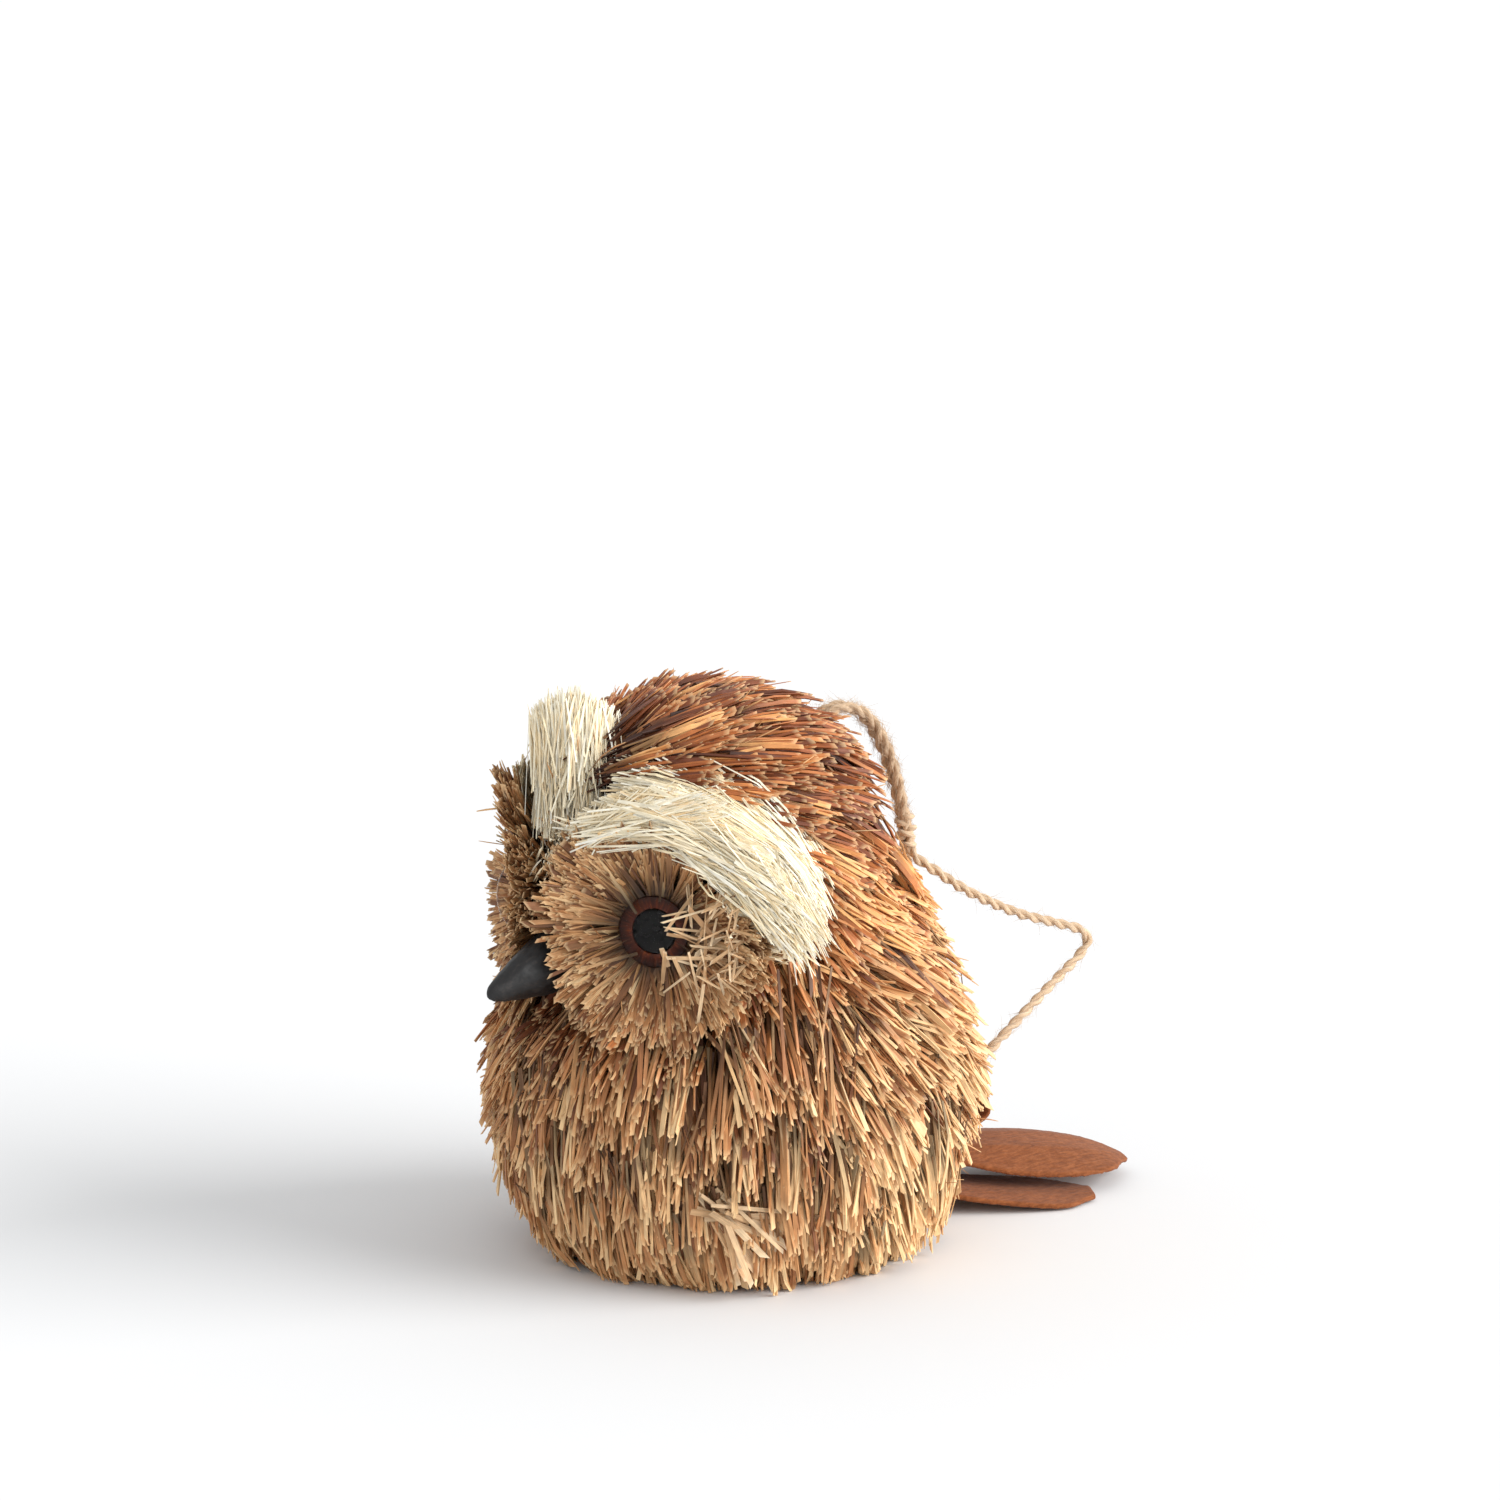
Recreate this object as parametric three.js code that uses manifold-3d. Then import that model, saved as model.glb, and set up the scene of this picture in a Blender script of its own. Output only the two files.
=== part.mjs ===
// Natural-bristle owl ornament: straw bristle courses on a foam body and head, glass-type eyes,
// a carved beak, a fan of bark tail leaves and a jute hanging loop.
// Millimetres, +Z up. The origin is the centre of the base, the owl faces -Y and its left is +X.
import * as THREE from 'three';
import { mergeVertices } from 'three/addons/utils/BufferGeometryUtils.js';
import Module from 'manifold-3d';

const wasm = await Module();
wasm.setup();

// ---------- driving dimensions ----------
const GAP = 0.3;                 // clearance between neighbouring pieces
const ROUND = 28;                // facets round the body
const FAR = 120;                 // reach of a cutting solid past the object

const BASE_R = 22.5;
const BASE_T = 1.2;
const BASE_Y = -1.5;             // the base sits a little forward of the body's axis

// Outline over the bristles of the body, as radius at height.
const BODY_OUTLINE = [
  [25.5, 0], [28.6, 3], [31.8, 8], [34.2, 15], [35.7, 22], [35.4, 28],
  [33.8, 34], [31.4, 40], [28.8, 46], [25.8, 52], [21.5, 57],
];
const REAR_LIFT = { from: 6, rise: 0.22 };          // the coat's underside rises towards the tail
const BODY_CORE = [
  [0, 1.5], [20, 1.5], [24.5, 6], [27.5, 14], [28.2, 22], [26.5, 30], [22, 36.5], [0, 36.5],
];

const HEAD = new THREE.Vector3(0, -8.2, 54);        // centre of the head
const HEAD_RADII = new THREE.Vector3(27, 25.8, 24.6);    // across, up and fore-and-aft
const HEAD_SQUARENESS = 3;                          // 2 is an ellipsoid, more is boxier
const HEAD_TAPER = 0.28;                            // width lost from the cheeks to the crown
const HEAD_PITCH = THREE.MathUtils.degToRad(12);    // the face is bowed
const BROW_PROUD = 1.05;                            // how far the brows stand out of the head
const HEAD_CORE = [
  [0, 37], [11, 37], [16, 41], [19.3, 48], [20, 55], [18.6, 62.5], [14, 69.5], [7.5, 73], [0, 74],
];
const HEAD_CORE_Y = -6.5;

const PEG_R = 1.5;
const PEG_Z = [27, 47];
const PEG_Y = -4.5;

// Each course boundary is a cone that slopes down and outwards, as thatch lies.
const COURSE_SLOPE = 0.8;
const COURSE_NAMES = [
  'bristle_hem', 'bristle_belly_low', 'bristle_belly_mid', 'bristle_belly_high',
  'bristle_chest', 'bristle_shoulder',
];
const COURSE_EDGES = [[34, 9.5], [35.8, 18], [35.4, 26.5], [34, 34.5], [31, 42], [27.8, 49]];

// Head rows are bands over the head from ear to ear, by angle from the back (0) over the top (90).
const CROWN_ROWS = [
  ['bristle_nape', -38, -6], ['crown_row_back', -6, 26], ['crown_row_upper_back', 26, 54],
  ['crown_row_top', 54, 82], ['crown_row_upper_front', 82, 110], ['crown_row_front', 110, 158],
];

const EYE = new THREE.Vector3(14.6, -26.4, 51.2);   // left eye; the right one mirrors it
const EYE_YAW = THREE.MathUtils.degToRad(33);
const EYE_R = 4.9;
const PUPIL_R = 3.0;
const DOME_BASE = -0.3;                             // along the eye, from the face plane
const DOME_H = 3.3;
const IRIS_SPAN = [-1.4, -0.6];
const STEM_R = 1.2;
const STEM_DEPTH = 9;
const STEM_FLANGE = [-2.6, -1.7];
const DISC_R = 15.3;
const DISC_DEPTH = 11;
const DISC_RIM = 2.4;                               // how far the dish's rim stands forward
const BROW_DEPTH = 15;
const BROW_FRONT = 0.5;

// A brow's crescent seen along the eye, outward and up from the eye's centre.
const BROW_UPPER = {
  left: [[-12, 12.5], [-6, 17], [2, 19.2], [10, 17.6], [16.5, 13.4], [21, 8], [22, 2.5], [20.5, -2.5]],
  right: [[-12, 13], [-7, 17.5], [1, 19.5], [9, 17.8], [16, 13.6], [20.5, 8], [21.5, 2.5], [20, -2.5]],
};
const BROW_LOWER = [[18, -3.5], [15.5, 1.5], [11, 8.5], [4, 12.8], [-4, 13.4], [-12, 11]];
// The inner end of the right brow stands up as a brush.
const TUFT = { foot: [-1.6, -29.5, 63], top: [-8, -21.7, 76.8], radii: [3.2, 5.6] };

const BEAK_TIP = new THREE.Vector3(0, -43.6, 42.2);
const BEAK_LENGTH = 13.5;
const BEAK_PITCH = THREE.MathUtils.degToRad(16);
const BEAK_OUTLINE = [[4.7, 0], [4.5, 2], [3.8, 5], [2.8, 8.2], [1.85, 11], [1.2, 12.6], [0.6, 13.3]];
const BEAK_SQUEEZE = 0.82;                          // width against height
const BEAK_PEG_R = 1.2;
const BEAK_PEG = [-13, 5];                          // from inside the head core to inside the beak

const TWINE_R = 0.75;
const TWINE_SPREAD = 0.9;                           // half the distance between the paired strands
const TUNNEL_START = [0, 9.6, 67.8];                // inside the crown
const TUNNEL_ROOM = 0.6;
const KNOT = { at: [0, 32.4, 54.6], radius: 1.7, half: 3, lean: 0.16 };
const TWINE_LEAD = [
  [11.2, 69.2], [15, 72.6], [19.4, 74.3], [24, 72.8], [27.6, 68.4], [30.2, 62.6], [31.5, 58.2],
];
const TWINE_LOOP = [
  [0.9, 33.1, 51.1], [2.2, 36.6, 48.2], [3.2, 42.4, 44.4], [4, 50.6, 40.4], [4.6, 58, 37.8],
  [5, 62.4, 36.2], [5.1, 63.8, 34.4], [5.1, 62.2, 32.4], [5.2, 58, 29.8], [5.5, 50, 25],
  [5.7, 44.2, 21.4], [4.6, 42, 19.6], [2.4, 41.6, 19.2], [0.3, 41.4, 21], [-1.8, 41, 26],
  [-2.4, 39.6, 32], [-2.2, 37.6, 39], [-1.5, 35, 46], [-0.9, 33.2, 51.1],
];
const PIN_R = 0.6;
const PIN_LENGTH = 11;
const PIN_HEAD = [0, 10.5, 68.6];
const PIN_TILT = THREE.MathUtils.degToRad(-52);

// Tail leaves: middle line, half width and sideways droop at points from root to tip.
const LEAF_T = 0.8;
const LEAVES = {
  tail_leaf_centre: {
    line: [
      [0, 27.5, 8.6], [1.4, 36, 8.6], [3.7, 45.4, 8], [6.4, 55, 6.6], [8.8, 62.6, 4.3], [10.2, 66.4, 2.3],
    ],
    half: [5, 7.6, 10.2, 10.8, 8.4, 2.5],
    droop: [0.6, 2, 3.6, 3.4, 1.6, 0.2],
  },
  tail_leaf_left: {
    line: [[5, 27.5, 4.2], [7.8, 36, 2.8], [12, 44, 1.7], [15.6, 49.4, 1], [18, 53.2, 0.8]],
    half: [4.2, 6.6, 7.4, 6.4, 2.6],
    droop: [0.4, 0.5, 0.5, 0.4, 0.1],
  },
  tail_leaf_right: {
    line: [[-5, 27.5, 4.2], [-7.8, 36, 2.8], [-12, 44, 1.7], [-15.6, 49.4, 1], [-18, 53.2, 0.8]],
    half: [4.2, 6.6, 7.4, 6.4, 2.6],
    droop: [0.4, 0.5, 0.5, 0.4, 0.1],
  },
  tail_leaf_cover: {
    line: [[0, 29, 10.4], [0, 37, 10.7], [0, 41.8, 12.4], [0, 41.4, 17], [0, 39.4, 23], [0, 37.6, 28.2]],
    half: [5, 7.5, 9, 9.5, 8, 2.5],
    droop: [0.4, 0.2, -1, -2, -2, -0.4],
  },
};

// ---------- looks ----------
const LOOKS = {
  card: [0x4a3424, 0.9], foam: [0xd8cfb8, 0.85], bamboo: [0xcfa867, 0.6], straw: [0xc59a64, 0.7],
  rust: [0xa96c40, 0.7], face: [0xb8956a, 0.7], cream: [0xf4e6c6, 0.65], lens: [0xd9d4cf, 0.05],
  iris: [0x5a2410, 0.3], pupil: [0x0b0b0c, 0.3], stem: [0x23201e, 0.5], beak: [0x1f1d1c, 0.35],
  bark: [0x96603f, 0.85], jute: [0xc4a27a, 0.9], steel: [0xb4b4b0, 0.3],
};

const group = new THREE.Group();
group.name = 'bristle_owl';

function add(name, geometry, look) {
  const [color, roughness] = LOOKS[look];
  const material = new THREE.MeshStandardMaterial({ color, roughness, metalness: look === 'steel' ? 1 : 0 });
  const mesh = new THREE.Mesh(geometry, material);
  mesh.name = name;
  group.add(mesh);
}

// ---------- solids ----------
// A closed geometry as a manifold solid: shared corners merged, slivers dropped, faces outwards.
function toSolid(geometry) {
  const bare = geometry.clone();
  bare.deleteAttribute('normal');
  bare.deleteAttribute('uv');
  const merged = mergeVertices(bare, 1e-4);
  const p = merged.attributes.position.array;
  const corner = (i) => new THREE.Vector3().fromArray(p, 3 * i);
  const kept = [];
  let volume = 0;
  for (let i = 0; i < merged.index.count; i += 3) {
    const [a, b, c] = merged.index.array.slice(i, i + 3);
    if (a === b || b === c || c === a) continue;
    kept.push(a, b, c);
    volume += corner(a).dot(corner(b).cross(corner(c)));
  }
  if (volume < 0) kept.reverse();
  return new wasm.Manifold(new wasm.Mesh({
    numProp: 3, vertProperties: new Float32Array(p), triVerts: new Uint32Array(kept),
  }));
}

function toGeometry(solid) {
  const { vertProperties, triVerts } = solid.getMesh();
  const geometry = new THREE.BufferGeometry();
  geometry.setAttribute('position', new THREE.BufferAttribute(vertProperties, 3));
  geometry.setIndex(new THREE.BufferAttribute(triVerts, 1));
  geometry.computeVertexNormals();
  return geometry;
}

function union(...solids) {
  return solids.reduce((a, b) => a.add(b));
}

// Corners of a smooth curve through [radius, height] points.
function smooth(points, count) {
  const curve = new THREE.SplineCurve(points.map(([x, y]) => new THREE.Vector2(x, y)));
  return curve.getPoints(count).map(({ x, y }) => [x, y]);
}

// A clockwise outline pushed outwards by a distance, corner by corner.
function swell(outline, by) {
  const corners = outline.map(([x, y]) => new THREE.Vector2(x, y));
  return corners.map((corner, i) => {
    const before = corners.at(i - 1);
    const after = corners[(i + 1) % corners.length];
    const along = after.clone().sub(before).normalize();
    return [corner.x - by * along.y, corner.y + by * along.x];
  });
}

// A solid of revolution about Z; an outline that leaves the axis open is closed on itself.
function revolve(outline, segments = ROUND) {
  const closed = outline[0][0] > 0 ? [...outline, outline[0]] : outline;
  const geometry = new THREE.LatheGeometry(closed.map(([r, z]) => new THREE.Vector2(r, z)), segments);
  return geometry.rotateX(Math.PI / 2);
}

function pin(radius, from, to, segments = 12) {
  return revolve([[0, from], [radius, from], [radius, to], [0, to]], segments);
}

// A prism of an outline in the XY plane, from height z0 to z1.
function prism(outline, z0, z1) {
  const shape = new THREE.Shape(outline.map(([x, y]) => new THREE.Vector2(x, y)));
  const geometry = new THREE.ExtrudeGeometry(shape, { depth: z1 - z0, bevelEnabled: false });
  return geometry.translate(0, 0, z0);
}

// A pie slice between two angles in degrees, drawn back by half the gap on both flanks.
function slice(from, to, reach = FAR) {
  const [a, b] = [from, to].map(THREE.MathUtils.degToRad);
  const middle = (a + b) / 2;
  const back = GAP / 2 / Math.sin((b - a) / 2);
  const apex = [back * Math.cos(middle), back * Math.sin(middle)];
  const rim = [a, (2 * a + b) / 3, (a + 2 * b) / 3, b];
  return [apex, ...rim.map((t) => [apex[0] + reach * Math.cos(t), apex[1] + reach * Math.sin(t)])];
}

function tube(points, radius, steps, sides = 8) {
  const path = new THREE.CatmullRomCurve3(points.map((p) => new THREE.Vector3(...p)), false, 'centripetal');
  const corners = Array.from({ length: sides }, (_, i) => {
    const t = (2 * Math.PI * i) / sides;
    return new THREE.Vector2(radius * Math.cos(t), radius * Math.sin(t));
  });
  const options = { steps, extrudePath: path, bevelEnabled: false };
  return new THREE.ExtrudeGeometry(new THREE.Shape(corners), options);
}

// The head's rounded-box envelope, scaled about its centre.
function headEnvelope(scale = 1) {
  const geometry = new THREE.SphereGeometry(1, 24, 13);
  const p = geometry.attributes.position;
  const v = new THREE.Vector3();
  for (let i = 0; i < p.count; i += 1) {
    v.fromBufferAttribute(p, i);
    const sum = v.toArray().reduce((s, c) => s + Math.abs(c) ** HEAD_SQUARENESS, 0);
    v.multiplyScalar(scale / sum ** (1 / HEAD_SQUARENESS)).multiply(HEAD_RADII);
    const rise = Math.max(0, v.y / (HEAD_RADII.y * scale));
    p.setXYZ(i, v.x * (1 - HEAD_TAPER * rise ** 2), v.z, v.y);
  }
  geometry.rotateX(HEAD_PITCH);
  return toSolid(geometry).translate(HEAD.toArray());
}

// The frame of an eye: Z looks out along the eye, Y is up. side is 1 for left and -1 for right.
function eyeFrame(side) {
  const [s, c] = [side * Math.sin(EYE_YAW), Math.cos(EYE_YAW)];
  const frame = new THREE.Matrix4().makeBasis(
    new THREE.Vector3(c, s, 0), new THREE.Vector3(0, 0, 1), new THREE.Vector3(s, -c, 0),
  );
  return frame.setPosition(side * EYE.x, EYE.y, EYE.z);
}

// The frame of the beak: Z runs from its root to its tip, Y is up across it.
function beakFrame() {
  const along = new THREE.Vector3(0, -Math.cos(BEAK_PITCH), -Math.sin(BEAK_PITCH));
  const across = new THREE.Vector3(1, 0, 0);
  const frame = new THREE.Matrix4().makeBasis(across, along.clone().cross(across), along);
  return frame.setPosition(BEAK_TIP.clone().addScaledVector(along, -BEAK_LENGTH));
}

function beakBlank(grow) {
  const outline = [[0, -grow], ...BEAK_OUTLINE.map(([r, z]) => [r + grow, z]), [0, BEAK_LENGTH + grow]];
  outline[1][1] = -grow;
  return revolve(outline, 16).scale(BEAK_SQUEEZE, 1, 1).applyMatrix4(beakFrame());
}

// A value read at u between evenly spaced samples.
function sample(values, u) {
  const curve = new THREE.SplineCurve(values.map((value, i) => new THREE.Vector2(i, value)));
  return curve.getPoint(u).y;
}

// A thin curved leaf: a subdivided slab bent along its middle line, drooping to both edges.
function leaf({ line, half, droop }, grow = 0) {
  const path = new THREE.CatmullRomCurve3(line.map((p) => new THREE.Vector3(...p)));
  const geometry = new THREE.BoxGeometry(2, 1, LEAF_T + 2 * grow, 4, 18, 1);
  const p = geometry.attributes.position;
  for (let i = 0; i < p.count; i += 1) {
    const u = p.getY(i) + 0.5;
    const v = p.getX(i);
    const along = path.getTangent(u);
    const across = new THREE.Vector3(along.y, -along.x, 0);
    if (across.length() < 0.5) across.set(1, 0, 0);
    across.normalize();
    const up = across.clone().cross(along).normalize();
    const place = path.getPoint(u)
      .addScaledVector(across, v * (sample(half, u) + grow))
      .addScaledVector(up, p.getZ(i) - sample(droop, u) * v * v);
    p.setXYZ(i, place.x, place.y, place.z);
  }
  return geometry;
}

// ---------- cores, pegs and base ----------
const stemBore = (side) => toSolid(revolve([
  [0, -STEM_DEPTH - GAP], [STEM_R + GAP, -STEM_DEPTH - GAP], [STEM_R + GAP, STEM_FLANGE[0] - GAP],
  [EYE_R + GAP, STEM_FLANGE[0] - GAP], [EYE_R + GAP, FAR / 4], [0, FAR / 4],
], 16).applyMatrix4(eyeFrame(side)));
const eyeBores = union(stemBore(1), stemBore(-1));

const neckBore = toSolid(pin(PEG_R + GAP, PEG_Z[0] - GAP, PEG_Z[1] + GAP).translate(0, PEG_Y, 0));
const beakBore = toSolid(pin(BEAK_PEG_R + GAP, BEAK_PEG[0] - GAP, BEAK_PEG[1] + GAP)
  .applyMatrix4(beakFrame()));

const pinFrame = new THREE.Matrix4().makeRotationX(PIN_TILT).setPosition(...PIN_HEAD);
const pinBore = toSolid(pin(PIN_R + GAP, -PIN_LENGTH - GAP, GAP, 12).applyMatrix4(pinFrame));

const coreOutline = (outline, grow) => outline.map(([r, z], i) => [
  r > 0 ? r + grow : 0, z + (i < 2 ? -grow : 0) + (i > outline.length - 3 ? grow : 0),
]);
const bodyCore = (grow) => toSolid(revolve(coreOutline(BODY_CORE, grow)));
const headCore = (grow) => toSolid(revolve(coreOutline(HEAD_CORE, grow)).translate(0, HEAD_CORE_Y, 0));

add('base_disc', pin(BASE_R, 0, BASE_T, ROUND).translate(0, BASE_Y, 0), 'card');
add('body_core', toGeometry(bodyCore(0).subtract(neckBore)), 'foam');
add('head_core', toGeometry(headCore(0).subtract(union(neckBore, eyeBores, beakBore, pinBore))), 'foam');
add('neck_peg', pin(PEG_R, ...PEG_Z).translate(0, PEG_Y, 0), 'bamboo');

// ---------- bristle coat ----------
// A profile drawn in (Y, Z) and extruded along X.
const SIDE_VIEW = new THREE.Matrix4().makeBasis(
  new THREE.Vector3(0, 1, 0), new THREE.Vector3(0, 0, 1), new THREE.Vector3(1, 0, 0),
);
const HEAD_VIEW = SIDE_VIEW.clone().setPosition(HEAD);

// Everything on one side of the ridge between the two eyes, at X = 0.
function halfSpace(side, grow) {
  const edges = [GAP / 2 - grow, FAR].map((x) => side * x);
  return toSolid(prism([
    [edges[0], -FAR], [edges[1], -FAR], [edges[1], FAR], [edges[0], FAR],
  ], 0, FAR));
}

// The disc of bristles round an eye: a dish that meets its neighbour at the ridge.
function faceDish(side, grow) {
  const front = grow > 0 ? FAR / 4 : 0;
  const outline = [
    [EYE_R, -DISC_DEPTH - grow], [DISC_R + grow, -DISC_DEPTH - grow],
    [DISC_R + grow, DISC_RIM + front], [0.65 * DISC_R, front], [EYE_R, STEM_FLANGE[1] + front],
  ];
  return toSolid(revolve(outline, 20).applyMatrix4(eyeFrame(side))).intersect(halfSpace(side, grow));
}

// The prism over an eye that a brow fills, cut from the head by its crescent outline.
function browPrism(side, grow) {
  const upper = smooth(side > 0 ? BROW_UPPER.left : BROW_UPPER.right, 8);
  const outline = swell([...upper, ...smooth(BROW_LOWER, 8)], grow);
  const front = grow > 0 ? FAR / 4 : BROW_FRONT;
  const blade = toSolid(prism(outline.map(([x, y]) => [side * x, y]), -BROW_DEPTH - grow, front));
  return blade.transform(eyeFrame(side).toArray()).intersect(halfSpace(side, grow));
}

// The brush at the inner end of the right brow, wider at its top.
function browTuft(grow) {
  const foot = new THREE.Vector3(...TUFT.foot);
  const stem = new THREE.Vector3(...TUFT.top).sub(foot);
  const [footR, topR] = TUFT.radii.map((r) => r + grow);
  const geometry = new THREE.CylinderGeometry(topR, footR, stem.length() + 2 * grow, 18);
  const up = new THREE.Vector3(0, 1, 0);
  geometry.applyQuaternion(new THREE.Quaternion().setFromUnitVectors(up, stem.clone().normalize()));
  geometry.translate(...foot.addScaledVector(stem, 0.5).toArray());
  return toSolid(geometry).intersect(halfSpace(-1, grow));
}

const leadTunnel = toSolid(tube(
  [TUNNEL_START, ...TWINE_LEAD.map(([y, z]) => [0, y, z])],
  TWINE_SPREAD + TWINE_R + TUNNEL_ROOM, 20,
));
const leafSlots = Object.values(LEAVES).map((spec) => toSolid(leaf(spec, GAP)));
const insides = union(
  bodyCore(GAP), headCore(GAP), eyeBores, beakBore, toSolid(beakBlank(GAP)), leadTunnel, pinBore,
  toSolid(pin(BASE_R + GAP, -1, BASE_T + GAP, ROUND).translate(0, BASE_Y, 0)), ...leafSlots,
);

const bodyEnvelope = toSolid(revolve([[0, 0], ...smooth(BODY_OUTLINE, 9), [0, 59]]));
const rearCut = toSolid(prism([
  [REAR_LIFT.from, 0], [FAR, -FAR], [FAR, (FAR - REAR_LIFT.from) * REAR_LIFT.rise],
], -FAR, FAR).applyMatrix4(SIDE_VIEW));
const dishes = union(faceDish(1, GAP), faceDish(-1, GAP));
const brows = union(browPrism(1, GAP), browPrism(-1, GAP), browTuft(GAP));
const coat = union(bodyEnvelope, headEnvelope()).subtract(union(insides, dishes, brows, rearCut));

// The band between two course boundaries; without a lower one it starts at the ground.
function courseBand(lower, upper) {
  const cone = ([r, z], shift) => {
    const top = z + COURSE_SLOPE * r + shift;
    return [[0, top], [60, top - 60 * COURSE_SLOPE]];
  };
  const [t0, t1] = cone(upper, -GAP / 1.5);
  const [b0, b1] = lower ? cone(lower, GAP / 1.5) : [[0, -70], [60, -70]];
  return toSolid(revolve([b0, b1, t1, t0]));
}

// The largest piece of a solid: what a cut leaves over as loose crumbs is dropped.
function mainBody(solid) {
  return solid.decompose().reduce((a, b) => (b.volume() > a.volume() ? b : a));
}

COURSE_NAMES.forEach((name, i) => {
  const band = courseBand(COURSE_EDGES[i - 1], COURSE_EDGES[i]);
  add(name, toGeometry(mainBody(coat.intersect(band))), i > 3 ? 'rust' : 'straw');
});

const headCoat = coat.subtract(courseBand(null, COURSE_EDGES.at(-1)));
for (const [name, from, to] of CROWN_ROWS) {
  const row = toSolid(prism(slice(from, to), -FAR, FAR).applyMatrix4(HEAD_VIEW));
  add(name, toGeometry(mainBody(headCoat.intersect(row))), 'rust');
}

for (const [label, side] of [['left', 1], ['right', -1]]) {
  const disc = faceDish(side, 0).subtract(insides);
  add(`face_disc_${label}`, toGeometry(mainBody(disc)), 'face');
  const crescent = browPrism(side, 0).intersect(headEnvelope(BROW_PROUD));
  const brow = side > 0 ? crescent : crescent.add(browTuft(0));
  add(`brow_${label}`, toGeometry(mainBody(brow.subtract(union(insides, dishes)))), 'cream');
}

// ---------- eyes ----------
for (const [label, side] of [['left', 1], ['right', -1]]) {
  const frame = eyeFrame(side);
  const dome = [[0, DOME_BASE], [EYE_R, DOME_BASE]];
  for (let i = 1; i <= 4; i += 1) {
    const t = (Math.PI / 2) * (i / 4);
    dome.push([EYE_R * Math.cos(t), DOME_H * Math.sin(t)]);
  }
  dome[dome.length - 1][0] = 0;
  add(`eye_${label}_dome`, revolve(dome, 24).applyMatrix4(frame), 'lens');
  const [back, front] = IRIS_SPAN;
  const hole = PUPIL_R + GAP / 2;
  const iris = [[hole, back], [EYE_R, back], [EYE_R, front], [hole, front]];
  add(`eye_${label}_iris`, revolve(iris, 24).applyMatrix4(frame), 'iris');
  add(`eye_${label}_pupil`, pin(PUPIL_R, back, front, 24).applyMatrix4(frame), 'pupil');
  const stem = [
    [0, -STEM_DEPTH], [STEM_R, -STEM_DEPTH], [STEM_R, STEM_FLANGE[0]],
    [EYE_R, STEM_FLANGE[0]], [EYE_R, STEM_FLANGE[1]], [0, STEM_FLANGE[1]],
  ];
  add(`eye_${label}_stem`, revolve(stem, 16).applyMatrix4(frame), 'stem');
}

// ---------- beak ----------
add('beak', toGeometry(toSolid(beakBlank(0)).subtract(beakBore)), 'beak');
add('beak_peg', pin(BEAK_PEG_R, ...BEAK_PEG).applyMatrix4(beakFrame()), 'bamboo');

// ---------- tail ----------
for (const [name, spec] of Object.entries(LEAVES)) add(name, leaf(spec), 'bark');

// ---------- hanging loop ----------
add('hanger_pin', pin(PIN_R, -PIN_LENGTH, 0, 12).applyMatrix4(pinFrame), 'steel');
for (const [label, side] of [['a', 1], ['b', -1]]) {
  const lead = TWINE_LEAD.map(([y, z]) => [side * TWINE_SPREAD, y, z]);
  add(`twine_lead_${label}`, tube(lead, TWINE_R, 12), 'jute');
}
const knot = [];
for (let i = 0; i <= 8; i += 1) {
  const t = Math.PI * (i / 8 - 0.5);
  knot.push([i % 8 ? KNOT.radius * Math.cos(t) : 0, KNOT.half * Math.sin(t)]);
}
add('twine_knot', revolve(knot, 12).rotateX(KNOT.lean).translate(...KNOT.at), 'jute');
add('twine_loop', tube(TWINE_LOOP, TWINE_R, 34), 'jute');

export default group;
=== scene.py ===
"""A small owl hanging ornament: cut natural bristle tied in courses, glass eyes, a black beak, bark tail
blades and a hanging loop of jute twine. All in metres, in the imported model's frame: -Y is the face, +Z up."""
import math

import bmesh
import bpy
import numpy as np
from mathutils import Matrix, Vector
from mathutils.bvhtree import BVHTree
from mathutils.noise import turbulence


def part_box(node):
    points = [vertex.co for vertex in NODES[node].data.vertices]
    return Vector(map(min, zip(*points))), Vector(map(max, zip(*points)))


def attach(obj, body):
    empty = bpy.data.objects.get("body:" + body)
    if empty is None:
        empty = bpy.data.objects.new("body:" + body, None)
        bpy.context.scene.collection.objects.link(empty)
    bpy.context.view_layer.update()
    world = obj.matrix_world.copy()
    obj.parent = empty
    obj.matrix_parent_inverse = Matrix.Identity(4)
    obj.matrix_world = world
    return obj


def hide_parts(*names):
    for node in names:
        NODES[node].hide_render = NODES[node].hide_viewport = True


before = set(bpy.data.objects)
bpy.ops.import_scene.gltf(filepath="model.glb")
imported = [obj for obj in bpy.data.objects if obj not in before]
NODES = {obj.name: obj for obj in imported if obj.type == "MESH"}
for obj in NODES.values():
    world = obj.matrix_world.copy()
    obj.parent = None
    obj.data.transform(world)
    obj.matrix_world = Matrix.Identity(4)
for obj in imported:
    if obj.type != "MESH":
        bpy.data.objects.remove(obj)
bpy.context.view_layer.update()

MM = 0.001
SEED = dict(fuzz=41, coat=100, disc=200, brow=300, brush=330, brow_start=340, fringe=361, loose=400,
            ridge=405, splay=410, strays=420)


# ---- small helpers

def rgb(red, green, blue):
    """A colour given as screen values from 0 to 255, as the linear colour that a shader takes."""
    share = np.array([red, green, blue]) / 255
    linear = np.where(share <= 0.04045, share / 12.92, ((share + 0.055) / 1.055) ** 2.4)
    return (*linear.tolist(), 1.0)


def draws(piece, add=0):
    """A piece's own random draws, the same every time."""
    return np.random.default_rng(SEED[piece] + add)


def unit(vectors):
    """The same directions, one long."""
    return vectors / np.maximum(np.linalg.norm(vectors, axis=-1, keepdims=True), 1e-12)


def dot(a, b):
    return (a * b).sum(-1, keepdims=True)


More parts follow.
